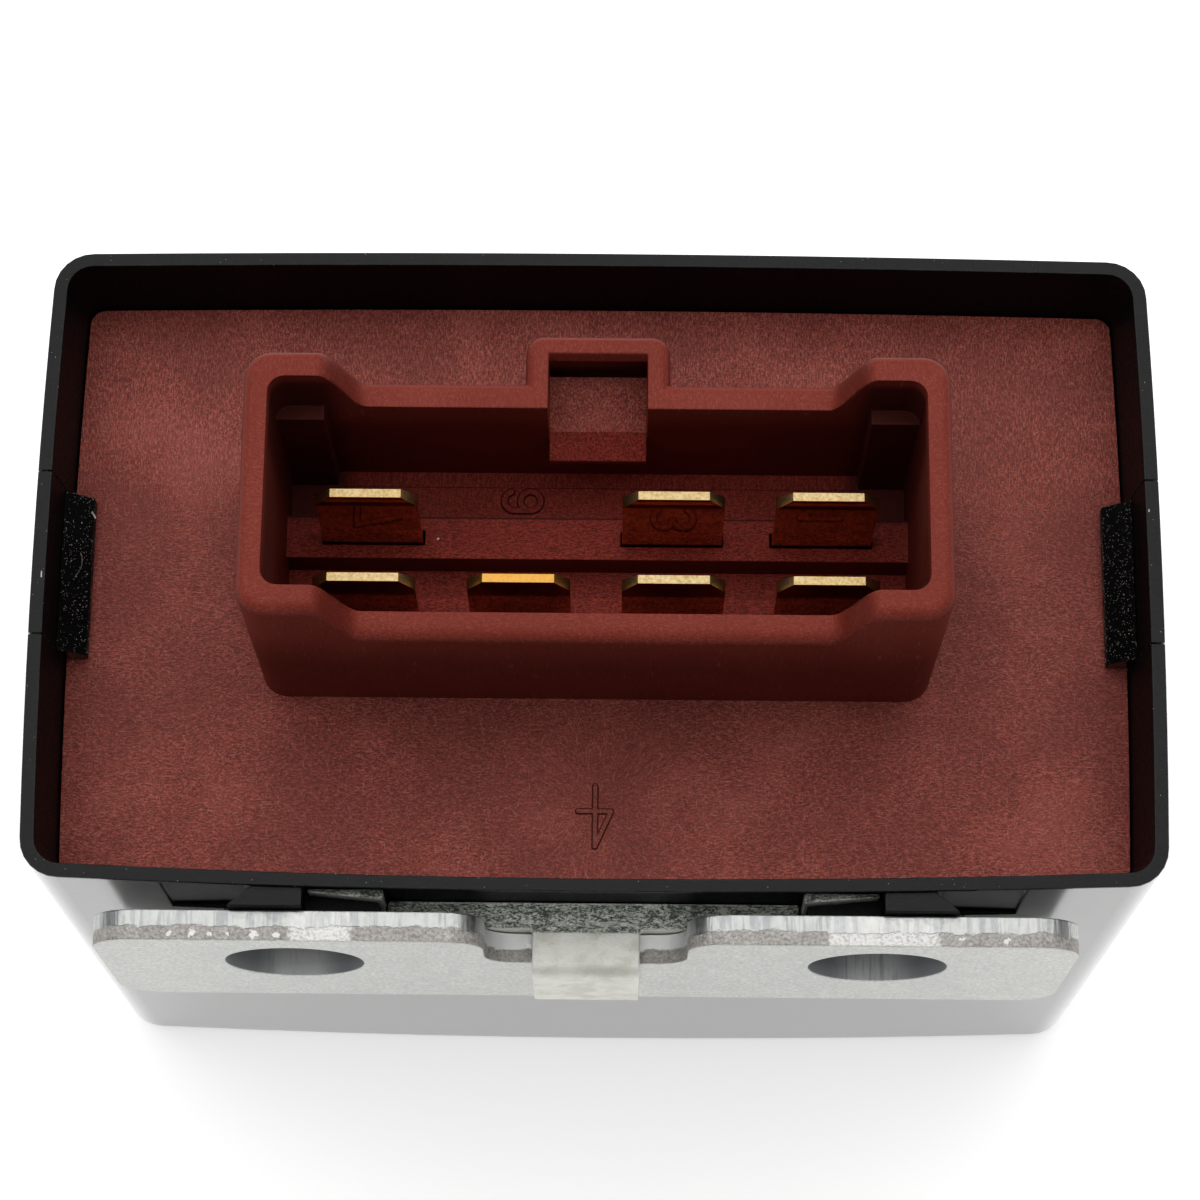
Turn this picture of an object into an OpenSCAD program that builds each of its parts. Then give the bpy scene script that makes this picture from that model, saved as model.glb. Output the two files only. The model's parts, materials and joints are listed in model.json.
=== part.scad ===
// Automotive relay with a keyed blade connector, a snap-in terminal base and a slide-on bracket.
// The closed end of the case rests on Z = 0, the connector faces +Z and the bracket is on the -Y side.

/* [Case] */
// Width of the case across its corners
case_w = 70; // [66:0.5:90]
// Depth of the case across its corners
case_d = 41; // [39:0.5:56]
// Length of the case from its closed end to its rim
case_len = 52; // [47:0.5:80]
// Thickness of the case wall beside the terminal base
case_wall = 1.4; // [1.2:0.1:2]
// Thickness of the case wall at its rim
rim_wall = 0.9; // [0.7:0.05:1.1]
// Thickness of the closed end
end_wall = 1.8; // [1.2:0.1:3]
// Radius of the upright corners of the case
case_corner = 2.5; // [2.2:0.1:5]
// Radius of the edge round the closed end
end_round = 2; // [0.6:0.1:2.1]
// Outward bow of the front wall at its middle
front_bow = 0.6; // [0.4:0.05:1]
// Growth of the front wall's bow for each millimetre into the wall
bow_gain = 0.08; // [0:0.01:0.15]
// Outward bow of the back wall at its middle
back_bow = 0.3; // [0:0.05:1]
// Outward bow of each side wall at its middle
side_bow = 0.3; // [0:0.05:0.8]
// Width of the ledge inside the case that carries the terminal base
ledge_w = 0.8; // [0.5:0.1:1.5]

/* [Snap latches] */
// Width of the snap tongue in each side wall
latch_w = 10.7; // [8:0.1:16]
// Offset of the snap tongues from the middle of the side walls
latch_y = 0.3; // [-2:0.1:2]
// Length of the snap tongues down from the rim
latch_len = 15; // [10:0.5:20]
// Width of the slits beside the snap tongues
slit_w = 0.14; // [0.1:0.02:0.4]
// Reach of the snap hooks over the terminal base
hook_reach = 1.25; // [0.8:0.05:2]
// Height of the blunt nose of the snap hooks
hook_nose = 0.9; // [0.5:0.1:1.5]
// Rise of the slope behind the nose of the snap hooks
hook_rise = 1.5; // [0.8:0.1:2.5]

/* [Terminal base] */
// Depth of the base plate below the rim of the case
base_depth = 6; // [5:0.1:8]
// Thickness of the base plate
base_t = 2.5; // [2:0.1:4]
// Clearance between the base plate and the case
base_gap = 0.08; // [0.05:0.01:0.2]
// Height of the connector floor above the base plate
floor_rise = 1; // [0.4:0.1:2]
// Height of the terminal ribs above the connector floor
rib_h = 2.5; // [1:0.1:4]
// Width of the terminal ribs
rib_w = 2.8; // [2:0.1:3.6]
// Radius of the posts that carry the circuit board
post_r = 2; // [1.6:0.1:2.6]
// Radius of the pegs on the posts
peg_r = 1; // [0.7:0.1:1.3]

/* [Blade terminals] */
// Width of a blade
blade_w = 6.3; // [5:0.1:7]
// Thickness of a blade
blade_t = 0.8; // [0.6:0.05:1]
// Distance between neighbouring blades of a row
blade_pitch = 9.43; // [8.6:0.01:10.5]
// Distance between the two rows of blades
row_gap = 5.36; // [4.8:0.02:7]
// Offset of the rows' middle from the middle of the case
rows_y = -0.43; // [-2:0.01:2]
// Height of the blade tips above the terminal ribs
blade_out = 8.5; // [6:0.1:9]
// Width of the flat at a blade's tip
tip_w = 4.35; // [3:0.05:4.8]
// Height of the slanted corners at a blade's tip
tip_slant = 1.3; // [0.6:0.1:2]
// Thickness of a blade at its coined tip
tip_t = 0.56; // [0.4:0.02:0.6]
// Clearance round a blade in its slot
slot_gap = 0.08; // [0.05:0.01:0.15]
// Width of the blades' shoulders under the base plate
shoulder_w = 7.8; // [7.2:0.1:8.4]
// Height of the blades' shoulders
shoulder_h = 1.2; // [0.8:0.1:1.6]
// Width of the blades' solder tails
tail_w = 2.2; // [1.6:0.1:3]

/* [Connector shroud] */
// Gap between the end blades and the shroud's end walls
cav_end = 2.4; // [1.5:0.1:4]
// Gap between the near row and the shroud's near wall
cav_near = 2.42; // [2:0.02:4]
// Gap between the far row and the shroud's far wall
cav_far = 5.29; // [4.6:0.01:6.5]
// Thickness of the shroud's end walls
shroud_end_wall = 1.5; // [1.2:0.1:2.5]
// Thickness of the shroud's long walls
shroud_wall = 1.75; // [1.3:0.05:2.5]
// Height of the shroud's raised ends above the base plate
shroud_h = 18; // [16:0.1:20]
// Height of the shroud's middle above the base plate
shroud_mid_h = 12.85; // [12:0.05:15]
// Width of the shroud's low middle
dip_w = 28.2; // [20:0.1:30]
// Length of the curve between the low middle and a raised end
dip_run = 2.7; // [1.5:0.1:4]
// Radius of the shroud's corners outside
shroud_corner = 1.7; // [1.2:0.1:2.5]
// Radius of the shroud's corners inside
cav_corner = 1; // [0.5:0.1:1.5]
// Radius of the shroud's rim edge outside
rim_round = 0.9; // [0.4:0.05:1]
// Radius of the shroud's rim edge inside
lip_round = 0.1; // [0.1:0.05:0.4]
// Reach of the corner keys along the far wall
key_w = 3; // [2:0.1:5]
// Thickness of the corner keys
key_t = 0.94; // [0.6:0.02:1.5]
// Height of the corner keys above the base plate
key_h = 13; // [8:0.1:15]

/* [Lock pocket] */
// Width of the lock pocket inside
pocket_w = 6.1; // [4:0.1:8]
// Depth of the lock pocket behind the shroud's far wall
pocket_d = 1.6; // [1.2:0.1:3]
// Thickness of the lock pocket's side walls
pocket_wall = 1.4; // [1:0.05:2]
// Thickness of the lock pocket's back wall
pocket_back = 1.6; // [1.2:0.05:2.5]
// Radius of the lock pocket's corners
pocket_corner = 1.1; // [0.5:0.1:1.2]
// Depth of the chamfer at the lock pocket's mouth
mouth_in = 0.3; // [0.1:0.05:0.6]
// Height of the chamfer at the lock pocket's mouth
mouth_h = 0.75; // [0.3:0.05:1.5]
// Width of the gap behind the lock nib's slope, cut into the back wall
nib_gap = 0.8; // [0.3:0.05:1]
// Depth of the gap behind the lock nib below the slope's upper edge
nib_gap_h = 2.5; // [1:0.1:4]
// Depth of the lock nib's slope below the low rim, at the back wall
nib_drop = 3.25; // [2:0.05:5]
// Fall of the lock nib's slope from the back wall to the nib's edge
nib_fall = 2.4; // [1:0.1:4]
// Reach of the lock nib past the shroud's far wall
nib_out = 1.4; // [0.6:0.1:2]
// Thickness of the lock nib at its edge
nib_t = 0.6; // [0.3:0.1:1.2]

/* [Bracket shoe] */
// Width of the recess in the front wall
recess_w = 52.7; // [50:0.1:56]
// Depth of the recess in the front wall at its middle
recess_d = 0.6; // [0.45:0.05:0.65]
// Length of the recess down from the rim
recess_len = 7; // [5:0.1:12]
// Height of the full wall left above the recess
rim_band = 0.35; // [0.3:0.05:1.5]
// Width of each lug at the wall
lug_w = 7.3; // [6.8:0.1:9]
// Flare of each lug's outer flank
lug_flare = 1.9; // [0.5:0.1:2.5]
// Thickness of the arm of each lug at its end
arm_t = 0.73; // [0.6:0.01:1]
// Thickness of the arm of each lug at its root
arm_root = 1.15; // [1:0.05:1.2]
// Reach of the slot behind each arm
arm_slot = 4.6; // [4.2:0.1:5.4]
// Radius of the corner at the slot's closed end
slot_r = 0.3; // [0.2:0.02:0.34]
// Depth of the arms below the rim
arm_drop = 2.5; // [1.5:0.1:4]
// Length of the lugs from the rim band to the shoe's floor
lug_len = 15; // [12:0.5:20]
// Thickness of the shoe's floor
shoe_floor = 1.5; // [1:0.1:2.5]

/* [Bracket] */
// Thickness of the bracket plate
plate_t = 1.9; // [1.5:0.05:2.2]
// Width of the bracket plate
plate_w = 60.6; // [54:0.1:66]
// Height of the bracket plate
plate_h = 17; // [15:0.5:30]
// Depth of the bracket plate's top edge below the rim
plate_drop = 1.2; // [0.5:0.1:3]
// Sideways place of the bracket plate and the hanger's hook
plate_x = -0.46; // [-1:0.02:1]
// Radius of the bracket plate's corners
plate_corner = 2.75; // [1:0.05:4]
// Diameter of the two bracket holes
hole_d = 8.6; // [6:0.1:9]
// Distance between the two bracket holes
hole_span = 36.4; // [32:0.1:42]
// Depth of the holes below the plate's top edge
hole_drop = 6.6; // [5.5:0.1:9]
// Width of the notch in the plate's top edge
notch_w = 12.5; // [9:0.1:14]
// Depth of the notch
notch_h = 6.1; // [5:0.1:8]
// Radius of the notch's corners
notch_r = 1.8; // [0.5:0.1:2]
// Radius of the edges at the notch's mouth
notch_mouth = 2.4; // [0.5:0.1:2.8]
// Thickness of the hanger's sheet
hanger_t = 1.55; // [1.5:0.05:1.8]
// Width of the hanger in the shoe
tongue_w = 25.6; // [22:0.1:27]
// Play of the hanger between the lugs on each side
tongue_play = 0.3; // [0.1:0.05:0.6]
// Reach of the hanger's wings into the slots behind the arms
wing_w = 4.45; // [3:0.05:4.5]
// Depth of the wings' top edges below the rim
wing_drop = 2.2; // [1.6:0.1:5]
// Gap between the hanger's middle and the raised part of its wings
wing_gap = 0.1; // [0.1:0.05:1]
// Depth of the hanger's top edge below the rim
tongue_drop = 5.6; // [4:0.1:7]
// Fall of the hanger's top edge towards the plate
tongue_fall = 0.9; // [0:0.1:1]
// Width of the hanger's hook
neck_w = 6.7; // [5:0.1:8]
// Thickness of the hanger's hook
neck_t = 0.9; // [0.8:0.05:1.5]
// Length of the hook's leg in front of the plate
neck_leg = 7; // [3:0.1:9]
// Clearance between the bracket's sheets, and between the hanger and the shoe
shoe_gap = 0.1; // [0.05:0.01:0.2]

/* [Circuit board] */
// Thickness of the circuit board
board_t = 1.6; // [1:0.1:2.4]
// Space between the base plate and the circuit board
board_drop = 3.6; // [3.4:0.1:5]
// Clearance between the circuit board and the case
board_gap = 1; // [0.4:0.1:2]
// Clearance round pins, tails and pegs in the board
pin_gap = 0.12; // [0.08:0.02:0.2]
// Length of pins and tails past the board
pin_out = 1.1; // [0.8:0.1:1.5]
// Height of a solder joint
solder_h = 0.8; // [0.5:0.1:0.8]
// Width of a solder joint's foot beside its pin
solder_foot = 0.6; // [0.4:0.05:0.8]
// Width of a solder joint's top beside a round pin
solder_top = 0.2; // [0.1:0.05:0.3]

/* [Relays] */
// Space between the circuit board and each relay
relay_drop = 1.8; // [1.6:0.1:3]
// Offset of the relays from the middle of the case
relay_y = 1.4; // [-1:0.1:3]
// Thickness of the yoke's sheet
yoke_t = 1.4; // [1:0.1:2]
// Width of the yoke
yoke_w = 11; // [9:0.1:12]
// Diameter of the core
core_d = 5; // [4:0.1:6]
// Diameter of the core's pole face
pole_d = 8; // [7:0.1:9]
// Thickness of the core's pole face
pole_t = 1; // [0.8:0.1:1.5]
// Diameter of the core's riveted end
rivet_d = 3.5; // [2.5:0.1:3.6]
// Diameter of the riveted head
head_d = 4.5; // [4:0.1:5]
// Height of the riveted head
head_h = 0.6; // [0.4:0.1:1]
// Width of the bobbin's flanges
flange_w = 13.5; // [13:0.1:15]
// Thickness of the bobbin's flanges
flange_t = 0.9; // [0.7:0.1:1.4]
// Space between the bobbin's flanges and the yoke's leg
leg_space = 0.2; // [0.1:0.05:0.5]
// Wall of the bobbin's tube
bobbin_wall = 0.7; // [0.5:0.1:1]
// Diameter of the coil winding
coil_d = 11.6; // [9:0.1:12.4]
// Length of the coil winding
coil_len = 13; // [9:0.5:15]
// Clearance between the parts of a relay
relay_gap = 0.05; // [0.03:0.01:0.1]
// Thickness of the armature
arm_sheet = 1.4; // [1:0.1:1.8]
// Width of the armature
armature_w = 10; // [8:0.1:11]
// Angle through which the armature closes
travel = 3; // [2:0.1:3.5]
// Gap left at the closed pole face and at the closed contacts
rest_gap = 0.15; // [0.1:0.01:0.3]
// Thickness of the leaf spring
leaf_t = 0.22; // [0.15:0.01:0.3]
// Width of the leaf spring
leaf_w = 6; // [4:0.1:8]
// Length of the leaf spring's leg on the yoke
leaf_leg = 8; // [5:0.1:11]
// Bulge of the leaf spring round the hinge edge
leaf_bulge = 1.3; // [1:0.1:2]
// Radius of the staked pips that hold the leaf spring
pip_r = 0.7; // [0.5:0.05:1]
// Distance of the armature's pip from the hinge edge
pip_run = 9.1; // [6:0.1:11]
// Distance from the armature's end to the contacts
contact_out = 2.4; // [2.2:0.1:3.5]
// Diameter of the contacts
contact_d = 3; // [2:0.1:3.4]
// Height of a contact's head
contact_h = 0.8; // [0.5:0.1:1]
// Diameter of a contact's shank
shank_d = 1.6; // [1:0.1:1.8]
// Width of the fixed contact's strip
strip_w = 4; // [3.4:0.1:5]
// Thickness of the fixed contact's strip
strip_t = 0.8; // [0.6:0.05:1.2]
// Radius of the coil pins
coil_pin_r = 0.4; // [0.3:0.05:0.5]

/* [Small parts] */
// Diameter of the diodes
diode_d = 2.7; // [2:0.1:2.9]
// Length of the diodes
diode_len = 5.2; // [4:0.1:7]
// Diameter of the resistor
resistor_d = 2.3; // [1.8:0.1:2.6]
// Length of the resistor
resistor_len = 6.3; // [5:0.1:7]
// Radius of the leads
lead_r = 0.3; // [0.25:0.05:0.4]
// Distance of a lead's bend from its body
lead_out = 1.5; // [1:0.1:2.5]

/* [Hidden] */
$fn = 48;
lap = 0.4;
past = 1;
thin = 0.01;
arc_steps = 6;
bow_steps = 10;
far_cols = [0, 2, 3];
near_cols = [0, 1, 2, 3];

black = "#1b1c1e";
red_brown = "#7a433d";
gold = "#c9a24a";
plated = "#c4c5c1";
steel = "#9a9ca0";
copper = "#b3643a";
board_green = "#2f6b45";
cream = "#d8cfb4";
silver_tip = "#d4d6da";

// Heights above the closed end
rim_z = case_len;
base_top = rim_z - base_depth;
base_bottom = base_top - base_t;
floor_z = base_top + floor_rise;
rib_top = floor_z + rib_h;
tip_z = rib_top + blade_out;
board_top = base_bottom - board_drop;
board_bottom = board_top - board_t;
tail_end = board_bottom - pin_out;
pin_end = board_top + pin_out;

// Connector plan
near_y = rows_y - row_gap / 2;
far_y = rows_y + row_gap / 2;
cav_w = 3 * blade_pitch + blade_w + 2 * cav_end;
cav_y0 = near_y - cav_near;
cav_y1 = far_y + cav_far;
shroud_w = cav_w + 2 * shroud_end_wall;
shroud_y0 = cav_y0 - shroud_wall;
shroud_y1 = cav_y1 + shroud_wall;
rim_low = base_top + shroud_mid_h;
rim_high = base_top + shroud_h;
pocket_y = shroud_y1 + pocket_d;
nib_y = cav_y1 - nib_out;
nib_top = rim_low - nib_drop;
nib_edge = nib_top - nib_fall;
blades = concat([for (c = near_cols) [c, near_y]], [for (c = far_cols) [c, far_y]]);

// Front wall, shoe and bracket plan
recess_y = -(case_d / 2 + front_bow - recess_d);
tongue_y1 = recess_y - shoe_gap / 2;
tongue_y0 = tongue_y1 - hanger_t;
plate_y1 = tongue_y0 - shoe_gap / 2;
plate_y0 = plate_y1 - plate_t;
lug_in = tongue_w / 2 + tongue_play;
lug_y0 = plate_y1 + shoe_gap;
arm_y = lug_y0 + arm_t;
lug_top = rim_z - rim_band;
arm_top = rim_z - arm_drop;
shoe_z = lug_top - lug_len;
plate_top = rim_z - plate_drop;
notch_z = plate_top - notch_h;
hole_z = plate_top - hole_drop;
tongue_top = rim_z - tongue_drop;
neck_under = notch_z + shoe_gap;
neck_top = neck_under + neck_t;
wing_x = lug_in + wing_w;
wing_r = slot_r - shoe_gap;
wing_top = rim_z - wing_drop;

// Board plan
inset_in = case_wall + ledge_w;
board_w = case_w - 2 * (inset_in + board_gap);
board_d = case_d - 2 * (inset_in + board_gap);
post_x = board_w / 2 - post_r - board_gap;
post_y = board_d / 2 - post_r - board_gap;
diode_x = post_x;
resistor_y = board_d / 4;
diode_lead = diode_len / 2 + lead_out;
resistor_lead = resistor_len / 2 + lead_out;
lead_places = concat(
    [for (s = [-1, 1], e = [-1, 1]) [s * diode_x, e * diode_lead]],
    [for (e = [-1, 1]) [e * resistor_lead, resistor_y]]);

// Relay plan, each from its own coil axis
relay_x = (case_w / 2 - inset_in) / 2;
relay_top = board_bottom - relay_drop;
bobbin_top = relay_top - yoke_t;
bobbin_low = bobbin_top - coil_len - 2 * flange_t;
pole_z = bobbin_low - pole_t;
leg_y0 = flange_w / 2 + leg_space;
leg_y1 = leg_y0 + yoke_t;
hinge_z = pole_z - rest_gap;
armature_len = leg_y1 + flange_w / 2;
contact_y = -flange_w / 2 - contact_out;
contact_run = leg_y1 - contact_y;
leaf_z = -arm_sheet - relay_gap;
fixed_z = hinge_z + leaf_z + contact_h + rest_gap;
strip_z = fixed_z + contact_h;
strip_y = contact_y - contact_d / 2 - strip_t;
tube_r = core_d / 2 + relay_gap + bobbin_wall;
coil_pin_x = flange_w / 2 - 2 * coil_pin_r;
coil_pin_y = -flange_w / 2 + 2 * coil_pin_r;
pip_z = hinge_z + leaf_leg - 2 * pip_r;

relay_parts = ["yoke", "core", "bobbin", "coil", "coil_pins", "armature", "leaf_spring",
    "moving_contact", "fixed_contact", "contact_strip"];
relay_names = ["relay_a", "relay_b"];
blade_nodes = [for (i = [1 : len(blades)]) str("blade_", i)];
relay_nodes = [for (r = relay_names) for (p = relay_parts) str(r, "_", p)];
diode_nodes = ["diode_a", "diode_b"];

function blade_x(col) = (col - 1.5) * blade_pitch;
function relay_at(i) = [(2 * i - 1) * relay_x, relay_y, 0];

// Points of an arc without its two ends
function arc(cx, cy, r, from, to) = [for (i = [1 : arc_steps - 1])
    let (a = from + (to - from) * i / arc_steps) [cx + r * cos(a), cy + r * sin(a)]];

// One side of the case, bowed outwards, from t = -1 to t = 1
function bowed(half, off, bow) = [for (i = [0 : bow_steps])
    let (t = 2 * i / bow_steps - 1) [t * half, off + bow * (1 - t * t)]];
function turned(pts, a) = [for (p = pts) [p[0] * cos(a) - p[1] * sin(a), p[0] * sin(a) + p[1] * cos(a)]];

// Outline of the case moved inwards, anticlockwise from the right-hand side
function case_outline(inset) = let (
    w = case_w / 2 - inset,
    d = case_d / 2 - inset,
    r = max(case_corner - inset, lap)) concat(
        turned(bowed(d - r, w, side_bow), -90),
        arc(w - r, r - d, r, 0, -90),
        turned(bowed(w - r, d, front_bow + bow_gain * inset), 180),
        arc(r - w, r - d, r, -90, -180),
        turned(bowed(d - r, w, side_bow), 90),
        arc(r - w, d - r, r, 180, 90),
        bowed(w - r, d, back_bow),
        arc(w - r, d - r, r, 90, 0));

// Polygon with its corners rounded, each corner given as [x, y, radius]
function unit(v) = v / norm(v);
function flat(p) = [p[0], p[1]];
function corner(p, c, n, r) = let (
    a = unit(p - c),
    b = unit(n - c),
    half = acos(max(-1, min(1, a * b))) / 2,
    mid = c + unit(a + b) * r / sin(half),
    v0 = c + a * r / tan(half) - mid,
    v1 = c + b * r / tan(half) - mid,
    sweep = 180 - 2 * half) [for (i = [0 : arc_steps])
        let (s = i / arc_steps)
        mid + (v0 * sin((1 - s) * sweep) + v1 * sin(s * sweep)) / sin(sweep)];
function rounded(pts) = [for (i = [0 : len(pts) - 1])
    let (
        p = pts[(i + len(pts) - 1) % len(pts)],
        c = pts[i],
        n = pts[(i + 1) % len(pts)])
    each (c[2] > 0 ? corner(flat(p), flat(c), flat(n), c[2]) : [flat(c)])];
function round_box(x0, x1, y0, y1, r) = rounded([[x0, y0, r], [x1, y0, r], [x1, y1, r], [x0, y1, r]]);

// Strip of even thickness along a path
function along(path, i) = unit(path[min(i + 1, len(path) - 1)] - path[max(i - 1, 0)]);
function beside(path, off) = [for (i = [0 : len(path) - 1])
    let (d = along(path, i)) path[i] + off * [-d[1], d[0]]];
function reversed(v) = [for (i = [len(v) - 1 : -1 : 0]) v[i]];
function strip(path, t) = concat(beside(path, t / 2), reversed(beside(path, -t / 2)));

// Moves a profile drawn in X and Z onto the XZ plane and gives it depth from y0 to y1
module slab_y(y0, y1) {
    translate([0, y1, 0])
        rotate([90, 0, 0])
            linear_extrude(y1 - y0)
                children();
}

// Gives a profile drawn in Y and Z a width w, centred on X = 0
module slab_x(w) {
    translate([-w / 2, 0, 0])
        rotate([90, 0, 90])
            linear_extrude(w)
                children();
}

module block(x0, x1, y0, y1, z0, z1) {
    translate([x0, y0, z0])
        cube([x1 - x0, y1 - y0, z1 - z0]);
}

module case_prism(inset, z0, z1) {
    translate([0, 0, z0])
        linear_extrude(z1 - z0)
            polygon(case_outline(inset));
}

module mirrored() {
    children();
    mirror([1, 0, 0])
        children();
}

// Case
module case_body() {
    hull() {
        for (i = [0 : arc_steps])
            let (a = 90 * i / arc_steps)
            case_prism(end_round * (1 - cos(a)), end_round * (1 - sin(a)), end_round * (1 - sin(a)) + thin);
        case_prism(0, end_round, rim_z);
    }
}

module rim_taper() {
    hull() {
        case_prism(case_wall, base_top - thin, base_top);
        case_prism(rim_wall, rim_z, rim_z + thin);
    }
}

module front_recess(half, z0) {
    intersection() {
        block(-half, half, -case_d, recess_y, z0, lug_top);
        case_prism(-past, z0, lug_top);
    }
}

// Back face of a lug's arm, in front of the slot that narrows outwards
function slot_face(x) = arm_y + (arm_root - arm_t) * (x - lug_in) / arm_slot;

module shoe_lug() {
    root_y = recess_y + (rim_wall - recess_d) / 2;
    slot_x = lug_in + arm_slot;
    root_x = lug_in + lug_w;
    translate([0, 0, shoe_z]) {
        linear_extrude(lug_top - shoe_z)
            polygon([[slot_x, root_y], [root_x, root_y], [root_x, recess_y], [root_x + lug_flare, lug_y0],
                [slot_x, lug_y0]]);
        linear_extrude(arm_top - shoe_z)
            polygon(rounded([[lug_in, lug_y0, 0], [slot_x + lap, lug_y0, 0], [slot_x + lap, recess_y, 0],
                [slot_x, recess_y, 0], [slot_x, slot_face(slot_x), slot_r], [lug_in, arm_y, 0]]));
    }
}

module shoe_bottom() {
    half = lug_in + lug_w;
    block(-half, half, lug_y0, recess_y + case_wall / 2, shoe_z - shoe_floor, shoe_z);
}

module latch_slits() {
    in_x = case_w / 2 - inset_in - past;
    for (s = [-1, 1])
        let (y = latch_y + s * latch_w / 2)
        block(in_x, case_w / 2 + past, y - slit_w / 2, y + slit_w / 2, rim_z - latch_len, rim_z + past);
}

module latch_hook() {
    wall_x = case_w / 2 - case_wall;
    tip_x = wall_x - hook_reach;
    root_x = wall_x + rim_wall / 2;
    half = (latch_w - slit_w) / 2;
    low = base_top + base_gap;
    nose = low + hook_nose;
    translate([0, latch_y, 0])
        slab_y(-half, half)
            polygon([[root_x, low], [tip_x, low], [tip_x, nose], [root_x, nose + hook_rise]]);
}

module case() {
    color(black) {
        difference() {
            case_body();
            case_prism(inset_in, end_wall, base_bottom + past);
            case_prism(case_wall, base_bottom, base_top);
            rim_taper();
            front_recess(recess_w / 2, rim_z - recess_len);
            front_recess(lug_in + arm_slot, shoe_z);
            mirrored()
                latch_slits();
        }
        mirrored() {
            shoe_lug();
            latch_hook();
        }
        shoe_bottom();
    }
}

// Height of the shroud's rim at a distance x from its middle
function rim_at(x) = let (t = max(0, min(1, (abs(x) - dip_w / 2) / dip_run)))
    rim_low + (rim_high - rim_low) * (1 - cos(180 * t)) / 2;

// Plan of one face of the shroud's wall, with stations along the curved stretches of the rim
function dip_stations() = [for (i = [0 : 2 * arc_steps]) dip_w / 2 + dip_run * i / (2 * arc_steps)];
function long_side(y, dir) = concat(
    [for (x = reversed(dip_stations())) [-dir * x, y]],
    [for (x = dip_stations()) [dir * x, y]]);
function full_arc(cx, cy, r, from) = [for (i = [0 : arc_steps])
    let (a = from + 90 * i / arc_steps) [cx + r * cos(a), cy + r * sin(a)]];
function shroud_plan(half, y0, y1, r) = concat(
    long_side(y0, 1),
    full_arc(half - r, y0 + r, r, -90),
    full_arc(half - r, y1 - r, r, 0),
    long_side(y1, -1),
    full_arc(r - half, y1 - r, r, 90),
    full_arc(r - half, y0 + r, r, 180));

// Section of the shroud's wall between an outer and an inner point of its plan
function wall_section(o, i) = let (
    u = unit(i - o),
    zo = rim_at(o[0]),
    zi = rim_at(i[0]),
    edge = [for (k = [0 : 4]) let (a = 90 * k / 4) [1 - cos(a), sin(a) - 1]],
    lip = [for (k = [0 : 2]) let (a = 90 * k / 2) [1 - sin(a), cos(a) - 1]])
    concat(
        [[o[0], o[1], base_bottom + lap]],
        [for (e = edge) let (p = o + u * rim_round * e[0]) [p[0], p[1], zo + rim_round * e[1]]],
        [for (e = lip) let (p = i - u * lip_round * e[0]) [p[0], p[1], zi + lip_round * e[1]]],
        [[i[0], i[1], base_bottom + lap]]);

module shroud_wall_loop() {
    outer = shroud_plan(shroud_w / 2, shroud_y0, shroud_y1, shroud_corner);
    inner = shroud_plan(cav_w / 2, cav_y0, cav_y1, cav_corner);
    n = len(outer);
    sections = [for (k = [0 : n - 1]) wall_section(outer[k], inner[k])];
    m = len(sections[0]);
    polyhedron(
        points = [for (s = sections) each s],
        faces = [for (k = [0 : n - 1]) for (j = [0 : m - 1])
            let (
                a = k * m + j,
                b = k * m + (j + 1) % m,
                c = (k + 1) % n * m + (j + 1) % m,
                d = (k + 1) % n * m + j)
            each [[a, b, c], [a, c, d]]]);
}

module pocket_walls() {
    half = pocket_w / 2 + pocket_wall;
    back_y = pocket_y + pocket_back;
    hull() {
        for (i = [0 : 3])
            let (
                a = 90 * i / 3,
                in = rim_round * (1 - cos(a)),
                z = rim_low - rim_round * (1 - sin(a)))
            translate([0, 0, z - thin])
                linear_extrude(thin)
                    polygon(round_box(in - half, half - in, cav_y1 + lap, back_y - in, pocket_corner - in));
        translate([0, 0, base_bottom + lap])
            linear_extrude(thin)
                polygon(round_box(-half, half, cav_y1 + lap, back_y, pocket_corner));
    }
}

module lock_nib() {
    slab_x(pocket_w)
        polygon([[nib_y, nib_edge - nib_t], [cav_y1 + lap, nib_edge - nib_t], [cav_y1 + lap, nib_top],
            [nib_y, nib_top]]);
}

// Everything above the lock nib's slope and behind it, in front of the lock pocket's back wall
module pocket_space() {
    low = nib_edge - past * nib_fall / (pocket_y - nib_y);
    slab_x(pocket_w)
        polygon([[nib_y - past, low], [pocket_y, nib_top], [pocket_y, nib_top - nib_gap_h],
            [pocket_y + nib_gap, nib_top - nib_gap_h], [pocket_y + nib_gap, rim_low - mouth_h],
            [pocket_y, rim_low - mouth_h], [pocket_y + mouth_in, rim_low],
            [pocket_y + mouth_in, rim_high], [nib_y - past, rim_high]]);
}

module board_posts() {
    for (x = [-post_x, post_x], y = [-post_y, post_y])
        translate([x, y, 0]) {
            translate([0, 0, board_top])
                cylinder(r = post_r, h = base_bottom - board_top + lap);
            translate([0, 0, tail_end])
                cylinder(r = peg_r, h = board_top - tail_end + lap);
        }
}

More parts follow.
